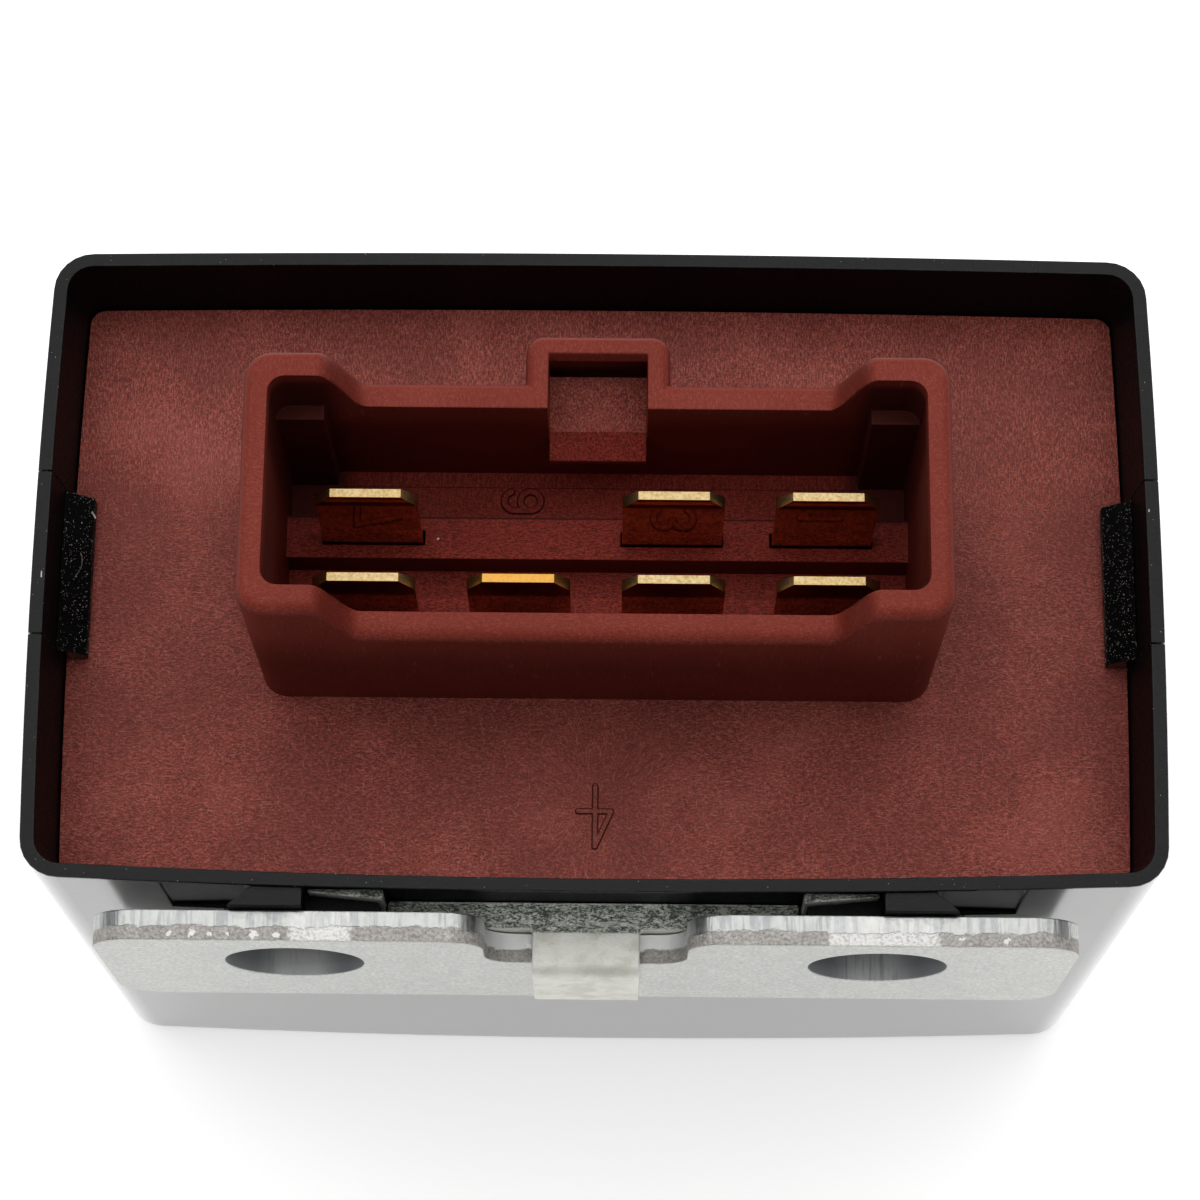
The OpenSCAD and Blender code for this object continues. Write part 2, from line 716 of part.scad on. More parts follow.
module terminal_base() {
    in_x = cav_w / 2 + lap;
    color(red_brown)
        difference() {
            union() {
                case_prism(case_wall + base_gap, base_bottom, base_top);
                shroud_wall_loop();
                pocket_walls();
                lock_nib();
                block(-in_x, in_x, cav_y0 - lap, cav_y1 + lap, base_bottom + lap, floor_z);
                block(-in_x, in_x, cav_y0 - lap, near_y + rib_w / 2, base_bottom + lap, rib_top);
                block(-in_x, in_x, far_y - rib_w / 2, far_y + rib_w / 2, base_bottom + lap, rib_top);
                mirrored()
                    block(cav_w / 2 - key_w, in_x, cav_y1 - key_t, cav_y1 + lap, base_bottom + lap,
                        base_top + key_h);
                board_posts();
            }
            pocket_space();
            for (b = blades)
                block(blade_x(b[0]) - blade_w / 2 - slot_gap, blade_x(b[0]) + blade_w / 2 + slot_gap,
                    b[1] - blade_t / 2 - slot_gap, b[1] + blade_t / 2 + slot_gap, base_bottom - past,
                    rib_top + past);
        }
}

// Blade terminals
module blade(i) {
    half = blade_w / 2;
    shoulder_z = base_bottom - shoulder_h;
    face = [[tip_w / 2, tip_z], [half, tip_z - tip_slant], [half, base_bottom], [shoulder_w / 2, base_bottom],
        [shoulder_w / 2, shoulder_z], [tail_w / 2, shoulder_z], [tail_w / 2, tail_end]];
    coin = [[tip_t / 2, tip_z], [blade_t / 2, tip_z - tip_slant], [blade_t / 2, tail_end]];
    color(gold)
        translate([blade_x(blades[i][0]), blades[i][1], 0])
            intersection() {
                slab_y(-blade_t, blade_t)
                    polygon(concat(face, reversed([for (p = face) [-p[0], p[1]]])));
                slab_x(2 * shoulder_w)
                    polygon(concat(coin, reversed([for (p = coin) [-p[0], p[1]]])));
            }
}

// Bracket
module bracket_plate() {
    half = plate_w / 2;
    low = plate_top - plate_h;
    slot = notch_w / 2;
    color(plated)
        difference() {
            slab_y(plate_y0, plate_y1)
                translate([plate_x, 0])
                    polygon(rounded([[-half, low, plate_corner], [half, low, plate_corner],
                        [half, plate_top, plate_corner], [slot, plate_top, notch_mouth],
                        [slot, notch_z, notch_r], [-slot, notch_z, notch_r],
                        [-slot, plate_top, notch_mouth], [-half, plate_top, plate_corner]]));
            for (s = [-1, 1])
                translate([plate_x + s * hole_span / 2, plate_y1 + past, hole_z])
                    rotate([90, 0, 0])
                        cylinder(d = hole_d, h = plate_t + 2 * past);
        }
}

// Plan of a wing of the hanger from x to its end, clear of the arm in front of it
function wing_face(x) = slot_face(x) + shoe_gap;
function wing_plan(x) = rounded([[x, tongue_y1, 0], [x, wing_face(x), 0], [wing_x, wing_face(wing_x), wing_r],
    [wing_x, tongue_y1, 0]]);

module hanger_hook() {
    leg_y = plate_y0 - shoe_gap;
    bend = neck_t;
    translate([plate_x, 0, 0])
        slab_x(neck_w)
            polygon(rounded([[tongue_y0 + lap, neck_under, 0], [leg_y, neck_under, 0],
                [leg_y, neck_under - neck_leg, 0], [leg_y - neck_t, neck_under - neck_leg, 0],
                [leg_y - neck_t, neck_top, bend], [tongue_y0 + lap, neck_top, 0]]));
}

module bracket_hanger() {
    half = tongue_w / 2;
    low = shoe_z + shoe_gap;
    color(plated) {
        slab_x(tongue_w)
            polygon([[tongue_y0, low], [tongue_y1, low], [tongue_y1, tongue_top],
                [tongue_y0, tongue_top - tongue_fall]]);
        mirrored()
            translate([0, 0, low]) {
                linear_extrude(notch_z - low)
                    polygon(wing_plan(half - lap));
                linear_extrude(wing_top - low)
                    polygon(wing_plan(half + wing_gap));
            }
        hanger_hook();
    }
}

// Circuit board and what is soldered to it
module board_cuts() {
    low = board_bottom - past;
    high = board_top + past;
    for (b = blades)
        block(blade_x(b[0]) - tail_w / 2 - pin_gap, blade_x(b[0]) + tail_w / 2 + pin_gap,
            b[1] - blade_t / 2 - pin_gap, b[1] + blade_t / 2 + pin_gap, low, high);
    for (x = [-post_x, post_x], y = [-post_y, post_y])
        translate([x, y, low])
            cylinder(r = peg_r + pin_gap, h = high - low);
    for (i = [0, 1])
        translate(relay_at(i)) {
            mirrored()
                translate([coil_pin_x, coil_pin_y, low])
                    cylinder(r = coil_pin_r + pin_gap, h = high - low);
            block(-tail_w / 2 - pin_gap, tail_w / 2 + pin_gap, leg_y0 - pin_gap, leg_y1 + pin_gap, low, high);
            block(-tail_w / 2 - pin_gap, tail_w / 2 + pin_gap, strip_y - pin_gap, strip_y + strip_t + pin_gap,
                low, high);
        }
    for (p = lead_places)
        translate([p[0], p[1], low])
            cylinder(r = lead_r + pin_gap, h = high - low);
}

module circuit_board() {
    color(board_green)
        difference() {
            translate([0, 0, board_bottom])
                linear_extrude(board_t)
                    square([board_w, board_d], center = true);
            board_cuts();
        }
}

// Body and bent leads of a part that lies on the board along X
module axial_part(d, length, body_color) {
    out = length / 2 + lead_out;
    axis_z = board_top + d / 2;
    color(body_color) {
        translate([-length / 2, 0, axis_z])
            rotate([0, 90, 0])
                cylinder(d = d, h = length);
        translate([-out, 0, axis_z])
            rotate([0, 90, 0])
                cylinder(r = lead_r, h = 2 * out);
        mirrored()
            translate([out, 0, 0]) {
                translate([0, 0, tail_end])
                    cylinder(r = lead_r, h = axis_z - tail_end);
                translate([0, 0, axis_z])
                    sphere(r = lead_r);
            }
    }
}

module diode(i) {
    translate([(2 * i - 1) * diode_x, 0, 0])
        rotate([0, 0, 90])
            axial_part(diode_d, diode_len, black);
}

module resistor() {
    translate([0, resistor_y, 0])
        axial_part(resistor_d, resistor_len, cream);
}

// Solder round a flat tail, under the board or on it
module tail_solder(t, up) {
    r = tail_w / 2 + solder_foot;
    difference() {
        mirror([0, 0, up ? 0 : 1])
            cylinder(r1 = r, r2 = tail_w / 2, h = solder_h);
        block(-tail_w / 2, tail_w / 2, -t / 2, t / 2, -past, past);
    }
}

module pin_solder(r, up) {
    mirror([0, 0, up ? 0 : 1])
        difference() {
            cylinder(r1 = r + solder_foot, r2 = r + solder_top, h = solder_h);
            translate([0, 0, -past])
                cylinder(r = r, h = 2 * past);
        }
}

module solder_joints() {
    color(silver_tip) {
        for (b = blades)
            translate([blade_x(b[0]), b[1], board_bottom])
                tail_solder(blade_t, false);
        for (p = lead_places)
            translate([p[0], p[1], board_bottom])
                pin_solder(lead_r, false);
        for (i = [0, 1])
            translate(relay_at(i) + [0, 0, board_top]) {
                translate([0, (leg_y0 + leg_y1) / 2, 0])
                    tail_solder(yoke_t, true);
                translate([0, strip_y + strip_t / 2, 0])
                    tail_solder(strip_t, true);
                mirrored()
                    translate([coil_pin_x, coil_pin_y, 0])
                        pin_solder(coil_pin_r, true);
            }
    }
}

// Relays
module yoke() {
    color(steel)
        difference() {
            union() {
                block(-yoke_w / 2, yoke_w / 2, -yoke_w / 2, leg_y1, bobbin_top, relay_top);
                block(-yoke_w / 2, yoke_w / 2, leg_y0, leg_y1, pole_z, relay_top);
                block(-tail_w / 2, tail_w / 2, leg_y0, leg_y1, relay_top - lap, pin_end);
                translate([0, leg_y1 - lap, pip_z])
                    rotate([-90, 0, 0])
                        cylinder(r = pip_r, h = lap + relay_gap + 2 * leaf_t);
            }
            translate([0, 0, bobbin_top - past])
                cylinder(d = rivet_d + 2 * relay_gap, h = yoke_t + 2 * past);
        }
}

module core() {
    color(steel)
        translate([0, 0, pole_z]) {
            cylinder(d = pole_d, h = pole_t - relay_gap);
            cylinder(d = core_d, h = bobbin_top - pole_z);
            cylinder(d = rivet_d, h = relay_top - pole_z + 2 * relay_gap);
            translate([0, 0, relay_top - pole_z + relay_gap])
                cylinder(d1 = head_d, d2 = rivet_d, h = head_h);
        }
}

module bobbin() {
    half = flange_w / 2;
    color(cream)
        difference() {
            union() {
                for (z = [bobbin_low, bobbin_top - flange_t])
                    translate([0, 0, z])
                        linear_extrude(flange_t)
                            polygon(round_box(-half, half, -half, half, flange_t));
                translate([0, 0, bobbin_low])
                    cylinder(r = tube_r, h = bobbin_top - bobbin_low);
            }
            translate([0, 0, bobbin_low - past])
                cylinder(d = core_d + 2 * relay_gap, h = bobbin_top - bobbin_low + 2 * past);
            mirrored()
                translate([coil_pin_x, coil_pin_y, bobbin_top - flange_t - past])
                    cylinder(r = coil_pin_r + relay_gap, h = flange_t + 2 * past);
        }
}

module coil() {
    color(copper)
        translate([0, 0, bobbin_low + flange_t + relay_gap])
            difference() {
                cylinder(d = coil_d, h = coil_len - 2 * relay_gap);
                translate([0, 0, -past])
                    cylinder(r = tube_r + relay_gap, h = coil_len + 2 * past);
            }
}

module coil_pins() {
    color(silver_tip)
        mirrored()
            translate([coil_pin_x, coil_pin_y, bobbin_top - flange_t])
                cylinder(r = coil_pin_r, h = pin_end - bobbin_top + flange_t);
}

// Places what the armature carries, drawn closed with the hinge edge at the origin, at its open rest
module on_armature() {
    translate([0, leg_y1, hinge_z])
        rotate([travel, 0, 0])
            children();
}

module armature() {
    half = armature_w / 2;
    color(steel)
        on_armature() {
            translate([0, 0, -arm_sheet])
                linear_extrude(arm_sheet)
                    polygon(rounded([[-half, -armature_len, arm_sheet], [half, -armature_len, arm_sheet],
                        [half, 0, 0], [-half, 0, 0]]));
            translate([0, -pip_run, leaf_z - 2 * leaf_t])
                cylinder(r = pip_r, h = 2 * leaf_t + relay_gap + lap);
        }
}

// Middle line of the leaf spring in Y and Z from the hinge edge: up the yoke, round the hinge, then under it
function leaf_path() = let (
    up = relay_gap + leaf_t / 2,
    down = leaf_z - leaf_t / 2,
    open = [for (y = [0, -contact_run - contact_d]) [y * cos(travel) - down * sin(travel),
        y * sin(travel) + down * cos(travel)]],
    p0 = [up, rest_gap + leaf_bulge],
    p1 = [up + 2 * leaf_bulge, rest_gap],
    p2 = [open[0][0] + 2 * leaf_bulge * cos(travel), open[0][1] + 2 * leaf_bulge * sin(travel)],
    p3 = open[0]) concat(
        [[up, leaf_leg]],
        [for (i = [0 : 2 * arc_steps])
            let (t = i / (2 * arc_steps))
            pow(1 - t, 3) * p0 + 3 * t * pow(1 - t, 2) * p1 + 3 * t * t * (1 - t) * p2 + pow(t, 3) * p3],
        [open[1]]);

module leaf_spring() {
    color(gold)
        difference() {
            translate([0, leg_y1, hinge_z])
                slab_x(leaf_w)
                    polygon(strip(leaf_path(), leaf_t));
            translate([0, leg_y1 - past, pip_z])
                rotate([-90, 0, 0])
                    cylinder(r = pip_r + relay_gap, h = 2 * past);
            on_armature() {
                translate([0, -pip_run, leaf_z - past])
                    cylinder(r = pip_r + relay_gap, h = 2 * past);
                translate([0, -contact_run, leaf_z - past])
                    cylinder(d = shank_d + 2 * relay_gap, h = 2 * past);
            }
        }
}

module moving_contact() {
    color(silver_tip)
        on_armature()
            translate([0, -contact_run, leaf_z]) {
                translate([0, 0, relay_gap])
                    cylinder(d = contact_d, h = contact_h - relay_gap);
                translate([0, 0, -2 * leaf_t])
                    cylinder(d = shank_d, h = contact_h);
            }
}

module fixed_contact() {
    color(silver_tip)
        translate([0, contact_y, fixed_z]) {
            cylinder(d = contact_d, h = contact_h - relay_gap);
            cylinder(d = shank_d, h = contact_h + strip_t + relay_gap);
        }
}

module contact_strip() {
    half = strip_w / 2;
    color(gold)
        difference() {
            union() {
                block(-half, half, strip_y, contact_y + contact_d / 2, strip_z, strip_z + strip_t);
                block(-half, half, strip_y, strip_y + strip_t, strip_z, relay_top);
                block(-tail_w / 2, tail_w / 2, strip_y, strip_y + strip_t, relay_top - lap, pin_end);
            }
            translate([0, contact_y, strip_z - past])
                cylinder(d = shank_d + 2 * relay_gap, h = strip_t + 2 * past);
        }
}

module relay_part(part) {
    if (part == "yoke") yoke();
    if (part == "core") core();
    if (part == "bobbin") bobbin();
    if (part == "coil") coil();
    if (part == "coil_pins") coil_pins();
    if (part == "armature") armature();
    if (part == "leaf_spring") leaf_spring();
    if (part == "moving_contact") moving_contact();
    if (part == "fixed_contact") fixed_contact();
    if (part == "contact_strip") contact_strip();
}

case();
terminal_base();
bracket_plate();
bracket_hanger();
circuit_board();
resistor();
solder_joints();
for (i = [0 : len(blades) - 1])
    blade(i);
for (i = [0, 1])
    diode(i);
for (i = [0, 1], part = relay_parts)
    translate(relay_at(i)) relay_part(part);
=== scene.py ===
import json
import math

import bmesh
import bpy
from mathutils import Matrix, Vector


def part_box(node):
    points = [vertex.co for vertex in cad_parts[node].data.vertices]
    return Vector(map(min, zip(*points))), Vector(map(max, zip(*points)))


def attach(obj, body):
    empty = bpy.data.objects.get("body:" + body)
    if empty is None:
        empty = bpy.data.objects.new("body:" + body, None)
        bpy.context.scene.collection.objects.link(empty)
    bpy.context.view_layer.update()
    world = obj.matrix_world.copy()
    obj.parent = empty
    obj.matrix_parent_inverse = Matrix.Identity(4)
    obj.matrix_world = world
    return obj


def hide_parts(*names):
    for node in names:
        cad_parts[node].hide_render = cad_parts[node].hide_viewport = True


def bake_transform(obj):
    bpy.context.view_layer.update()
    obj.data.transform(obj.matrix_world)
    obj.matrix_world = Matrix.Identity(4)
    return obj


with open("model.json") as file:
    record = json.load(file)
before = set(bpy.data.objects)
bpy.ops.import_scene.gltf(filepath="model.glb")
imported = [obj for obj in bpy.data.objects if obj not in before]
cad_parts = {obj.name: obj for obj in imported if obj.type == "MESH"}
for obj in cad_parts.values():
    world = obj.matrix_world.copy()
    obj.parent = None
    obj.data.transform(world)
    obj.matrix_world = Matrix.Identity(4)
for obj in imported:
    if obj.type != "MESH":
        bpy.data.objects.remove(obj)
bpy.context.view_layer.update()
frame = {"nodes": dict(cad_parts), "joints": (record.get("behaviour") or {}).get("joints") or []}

mm = 0.001
stage = bpy.context.scene
stage.view_settings.view_transform = "Standard"
nodes = frame["nodes"]
print("frame loaded with", len(nodes), "nodes")


# Places read from the solids, in metres
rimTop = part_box("case")[1].z
plateLow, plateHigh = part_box("bracket_plate")


# A node's output that masks can be worked out with: each sign below adds one Math node
class Signal:
    def __init__(self, socket):
        self.socket = socket
        self.tree = socket.id_data

    def __add__(self, other):
        return calc("ADD", self, other)

    def __radd__(self, other):
        return calc("ADD", other, self)

    def __sub__(self, other):
        return calc("SUBTRACT", self, other)

    def __rsub__(self, other):
        return calc("SUBTRACT", other, self)

    def __mul__(self, other):
        return calc("MULTIPLY", self, other)

    def __truediv__(self, other):
        return calc("DIVIDE", self, other)

    def __rtruediv__(self, other):
        return calc("DIVIDE", other, self)

    def __lt__(self, other):
        return calc("LESS_THAN", self, other)

    def __gt__(self, other):
        return calc("GREATER_THAN", self, other)

    def __abs__(self):
        return calc("ABSOLUTE", self)


# Small helpers for node trees
def linear(red, green, blue):  # screen colour 0 to 255 to a linear socket value
    steps = [c / 255 for c in (red, green, blue)]
    flat = [c / 12.92 if c <= 0.04045 else ((c + 0.055) / 1.055) ** 2.4 for c in steps]
    return (*flat, 1.0)


def feed(socket, value):
    if isinstance(value, Signal):
        value.tree.links.new(value.socket, socket)
    else:
        socket.default_value = value


def setSockets(node, sockets):
    for name, value in sockets.items():
        feed(node.inputs[name], value)


def newNode(tree, kind, sockets=None, **settings):
    made = tree.nodes.new(kind)
    for name, value in settings.items():
        setattr(made, name, value)
    setSockets(made, sockets or {})
    return made


def add(tree, kind, output, sockets=None, **settings):
    return Signal(newNode(tree, kind, sockets, **settings).outputs[output])


def signals(node):
    return {socket.name: Signal(socket) for socket in node.outputs}


def calc(operation, a, b=0.0, clamp=False):
    tree = a.tree if isinstance(a, Signal) else b.tree
    return add(tree, "ShaderNodeMath", 0, {0: a, 1: b}, operation=operation, use_clamp=clamp)


def larger(a, b):
    return calc("MAXIMUM", a, b)


def vectorCalc(operation, a, b):
    return add(a.tree, "ShaderNodeVectorMath", 0, {0: a, 1: b}, operation=operation)


def scaled(vector, factor):
    return add(vector.tree, "ShaderNodeVectorMath", 0, {0: vector, 3: factor}, operation="SCALE")


def length(vector):
    return add(vector.tree, "ShaderNodeVectorMath", "Value", {0: vector}, operation="LENGTH")


def distance(vector, spot):
    return add(vector.tree, "ShaderNodeVectorMath", "Value", {0: vector, 1: spot}, operation="DISTANCE")


def remap(value, low, high, toLow=0.0, toHigh=1.0, smooth=True):
    kind = "SMOOTHSTEP" if smooth else "LINEAR"
    sockets = {"Value": value, "From Min": low, "From Max": high, "To Min": toLow, "To Max": toHigh}
    return add(value.tree, "ShaderNodeMapRange", 0, sockets, interpolation_type=kind)


def mixValue(factor, a, b):
    return add(factor.tree, "ShaderNodeMix", 0, {0: factor, 2: a, 3: b})


def mixColour(factor, a, b, kind="MIX"):
    a, b = [c if isinstance(c, Signal) else linear(*c) for c in (a, b)]
    return add(factor.tree, "ShaderNodeMix", 2, {0: factor, 6: a, 7: b}, data_type="RGBA", blend_type=kind)


# Lays the look's colours over one another, each through its own mask
def layered(colour, look, masks):
    for name, mask in masks.items():
        colour = mixColour(mask, colour, look[name])
    return colour


def noise(vector, scale, detail=2.0, rough=0.5, distortion=0.0):
    sockets = {"Vector": vector, "Scale": scale, "Detail": detail, "Roughness": rough,
               "Distortion": distortion}
    return add(vector.tree, "ShaderNodeTexNoise", "Fac", sockets)


def mapped(vector, place=(0, 0, 0), scale=(1, 1, 1)):
    return add(vector.tree, "ShaderNodeMapping", 0, {"Vector": vector, "Location": place, "Scale": scale})


def parts(vector):
    return [Signal(s) for s in newNode(vector.tree, "ShaderNodeSeparateXYZ", {0: vector}).outputs]


def joinedUp(x, y, z):
    return add(z.tree, "ShaderNodeCombineXYZ", 0, {0: x, 1: y, 2: z})


def millimetres(tree):  # object coordinates in mm
    return mapped(add(tree, "ShaderNodeTexCoord", "Object"), scale=(1 / mm, 1 / mm, 1 / mm))


def facing(vector):  # the three parts of the surface's normal
    return parts(add(vector.tree, "ShaderNodeNewGeometry", "Normal"))


def bumped(height, depth):  # depth in mm
    return add(height.tree, "ShaderNodeBump", 0, {"Height": height, "Distance": depth * mm, "Strength": 1.0})


# Shader groups shared by several finishes: a vector and sizes go in, masks and heights come out
def makeGroup(name, build, sizes):
    group = bpy.data.node_groups.new(name, "ShaderNodeTree")
    group.interface.new_socket(name="Vector", in_out="INPUT", socket_type="NodeSocketVector")
    for label, value in sizes.items():
        socket = group.interface.new_socket(name=label, in_out="INPUT", socket_type="NodeSocketFloat")
        socket.default_value = value
    given = group.nodes.new("NodeGroupInput").outputs
    results = build(*[Signal(given[label]) for label in ("Vector", *sizes)])
    for label in results:
        group.interface.new_socket(name=label, in_out="OUTPUT", socket_type="NodeSocketFloat")
    setSockets(group.nodes.new("NodeGroupOutput"), results)
    return group


def use(group, vector, sizes):
    return signals(newNode(vector.tree, "ShaderNodeGroup", {"Vector": vector, **sizes}, node_tree=group))


def cellsOf(vector, size):
    return signals(newNode(vector.tree, "ShaderNodeTexVoronoi", {"Vector": vector, "Scale": 1.0 / size}))


def buildGrain(place, size, contrast):
    scale = 1.0 / size
    fine = noise(place, scale, detail=3.0, rough=0.6)
    coarse = noise(place, scale * 0.23, detail=2.0)
    grain = (fine - 0.5) * contrast + (coarse - 0.5) * 0.6
    return {"Grain": calc("ADD", grain, 0.5, clamp=True), "Height": fine}


# Short fibres, one for each cell, each at its own angle
def buildFleck(place, size, width, share):
    cells = cellsOf(place, size)
    tint = parts(cells["Color"])
    local = vectorCalc("SUBTRACT", place, cells["Position"])
    turned = add(place.tree, "ShaderNodeVectorRotate", 0, {"Vector": local, "Angle": tint[0] * math.pi},
                 rotation_type="Z_AXIS")
    along, across = parts(turned)[:2]
    reach = size * 0.42
    thin = remap(abs(across), width, 0.0)
    short = remap(abs(along), reach, reach * 0.7)
    return {"Fleck": thin * short * (tint[1] < share)}


# Sparse specks that lie on what faces up
def buildDust(place, spacing, radius, share):
    cells = cellsOf(place, spacing)
    tint = parts(cells["Color"])
    radius = radius * (tint[1] + 0.3)
    spot = remap(cells["Distance"] * spacing, radius, radius * 0.4)
    lying = remap(facing(place)[2], 0.15, 0.6)
    return {"Dust": spot * (tint[0] < share) * lying}


# Rubbed edges: the rounded strips of a piece carry the attribute "edge"
def buildWear(place, patchSize):
    edge = add(place.tree, "ShaderNodeAttribute", "Fac", attribute_name="edge")
    patch = noise(place, 1.0 / patchSize, detail=3.0)
    return {"Wear": edge * remap(patch, 0.38, 0.62)}


# Fine lines of a rolled, drawn or sheared surface; the vector is stretched by the material
def buildLines(place, density):
    fine = noise(place, density, detail=2.0, rough=0.7)
    broad = noise(place, density * 0.3, detail=1.0)
    return {"Lines": fine * 0.65 + broad * 0.35}


# Slow blotches of dulled metal
def buildTarnish(place, size, amount):
    scale = 1.0 / size
    cloud = noise(place, scale, detail=4.0, rough=0.6, distortion=0.4)
    spots = noise(place, scale * 6.0, detail=2.0)
    both = remap(cloud, 0.4, 0.68) + remap(spots, 0.62, 0.75, toHigh=0.5)
    return {"Dull": calc("MULTIPLY", both, amount, clamp=True)}


# Wavy ripples of short fibres that lie along x
def buildRipple(place, width, reach, bend):
    drift = add(place.tree, "ShaderNodeTexNoise", "Color", {"Vector": place, "Scale": 0.35, "Detail": 1.0})
    push = scaled(vectorCalc("SUBTRACT", drift, (0.5, 0.5, 0.5)), bend)
    thin = 1.0 / width
    laid = vectorCalc("MULTIPLY", vectorCalc("ADD", place, push), joinedUp(1.0 / reach, thin, thin))
    return {"Ripple": noise(laid, 1.0, detail=2.0, rough=0.6)}


fineGrain = makeGroup("fineGrain", buildGrain, {"Size": 0.2, "Contrast": 1.0})
fibreFleck = makeGroup("fibreFleck", buildFleck, {"Length": 0.5, "Width": 0.04, "Share": 0.5})
dustSpeck = makeGroup("dustSpeck", buildDust, {"Spacing": 0.8, "Radius": 0.1, "Share": 0.3})
edgeWear = makeGroup("edgeWear", buildWear, {"Patch Size": 2.0})
drawLines = makeGroup("drawLines", buildLines, {"Density": 8.0})
tarnish = makeGroup("tarnish", buildTarnish, {"Size": 3.0, "Amount": 0.5})
flowRipple = makeGroup("flowRipple", buildRipple, {"Width": 0.2, "Length": 1.0, "Bend": 1.2})
print("shader groups built")


# A finish from its look: colours are screen colours 0 to 255, and the painter fills the shader's sockets
def makeFinish(name, paint, look):
    finish = bpy.data.materials.new(name)
    finish.use_nodes = True
    tree = finish.node_tree
    setSockets(tree.nodes["Principled BSDF"], paint(millimetres(tree), look))
    return finish


# Black moulded case, glossier on its outer walls and dull between the lugs
caseLook = {
    "body": (7, 7, 8), "grainLight": (12, 13, 15), "fibre": (40, 41, 42),
    "rubbed": (40, 40, 40), "dust": (188, 182, 168), "roughness": (0.35, 0.48), "gloss": 0.14,
    "grain": {"Size": 0.16, "Contrast": 1.6}, "fleck": {"Length": 0.6, "Width": 0.03, "Share": 0.4},
    "wear": {"Patch Size": 1.6}, "specks": {"Spacing": 0.7, "Radius": 0.06, "Share": 0.12},
    "lugs": {"half": 23.2, "before": -20.55}, "recess": {"half": 20.0, "before": -20.3},
    "dullAbove": 36.0, "dullBelow": 49.6, "bump": 0.03,
}


def paintCase(place, look):
    x, y, z = parts(place)
    normalX, normalY, normalZ = facing(place)
    grain = use(fineGrain, place, look["grain"])
    fleck = use(fibreFleck, place, look["fleck"])["Fleck"]
    wear = use(edgeWear, place, look["wear"])["Wear"]
    dust = use(dustSpeck, place, look["specks"])["Dust"]
    colour = layered(look["body"], look, {
        "grainLight": grain["Grain"], "fibre": fleck * 0.3, "rubbed": wear * 0.35, "dust": dust * 0.6})
    rough = remap(grain["Grain"], 0.2, 0.8, *look["roughness"])
    rough = calc("ADD", rough, dust * 0.4, clamp=True)
    outward = normalX * x + normalY * y > 0.0
    upright = remap(abs(normalZ), 0.7, 0.3)
    lugs, recess = [(abs(x) < zone["half"]) * (y < zone["before"]) for zone in (look["lugs"], look["recess"])]
    dull = larger(lugs, recess) * (z > look["dullAbove"])
    skin = calc("SUBTRACT", outward * upright, dull, clamp=True)
    sunken = larger(upright, z < look["dullBelow"])
    return {"Base Color": colour, "Roughness": rough, "IOR": 1.5,
            "Specular IOR Level": remap(sunken, 0.0, 1.0, 0.2, 0.05),
            "Coat Weight": skin, "Coat Roughness": look["gloss"], "Coat IOR": 1.55,
            "Normal": bumped(grain["Height"], look["bump"])}


# Red-brown moulded base: a rippled skin on what faces up, a smoother shroud, with painted shade in its well,
# on its steep walls, on the numbers' flanks and along a rib's edge
baseLook = {
    "body": (133, 57, 46), "dark": (84, 25, 19), "light": (184, 102, 90),
    # the last colour on the next line is painted shade for steep faces
    "hair": (210, 160, 146), "smooth": (134, 54, 42), "wall": (112, 38, 29),
    # on the next line, the near-black red is the grain's dark pits and also painted shade in the well; the
    # darkest red is painted shade on the numbers' flanks and along a rib's edge
    "warm": (176, 66, 40), "pit": (54, 17, 13), "flank": (44, 10, 7),
    # the last two colours on the next line are painted shade for the floor of the shroud's well
    "dust": (224, 208, 196), "deepDark": (84, 20, 14), "deepLight": (140, 46, 35),
    "roughness": (0.44, 0.6), "bump": 0.05, "grainScale": 8.0, "cloudScale": 0.16, "warmScale": 4.5,
    "gate": {"at": (0.2, -14.2), "reach": (8.0, 3.6), "fan": (14.0, 0.8), "scale": 2.6},
    "ripple": {"Width": 0.085, "Length": 0.32, "Bend": 1.2}, "crosswise": (11.8, 2.8, 11.8),
    "turnFrom": (1.0, 10.0), "fleck": {"Length": 0.75, "Width": 0.024, "Share": 0.6},
    "specks": {"Spacing": 2.4, "Radius": 0.08, "Share": 0.08}, "skinTop": (57.8, 57.2),
    # where painted shade goes inside the shroud: the well, its ends and its far corners
    "well": {"middle": (0.0, 1.0), "half": (19.9, 6.8), "top": (58.0, 55.0)},
    "ends": {"from": (15.2, 16.8), "top": (63.4, 62.4), "corner": (2.5, 4.5)},
    # a thin line of painted shade along the far rib's edge
    "ribLine": {"y": 3.62, "low": 48.6, "high": 49.6, "wide": (0.14, 0.06)},
}


# Flow of the melt, fanned out from the gate and turned crosswise on the far side
def flowStreak(place, look):
    gate = look["gate"]
    x, y, z = parts(mapped(place, place=(-gate["at"][0], -gate["at"][1], 0)))
    angle = calc("ARCTAN2", y, x)
    reach = calc("SQRT", calc("POWER", x, 2.0) + calc("POWER", y, 2.0))
    fan = joinedUp(angle * gate["fan"][0], reach * gate["fan"][1], z)
    flow = noise(fan, gate["scale"], detail=3.0, rough=0.65)
    ripple = use(flowRipple, place, look["ripple"])["Ripple"]
    crosswise = noise(mapped(place, scale=look["crosswise"]), 1.0, detail=2.0, rough=0.6)
    ripple = mixValue(remap(parts(place)[1], *look["turnFrom"]), ripple, crosswise)
    return mixValue(remap(reach, *gate["reach"]) * 0.6, ripple, flow)


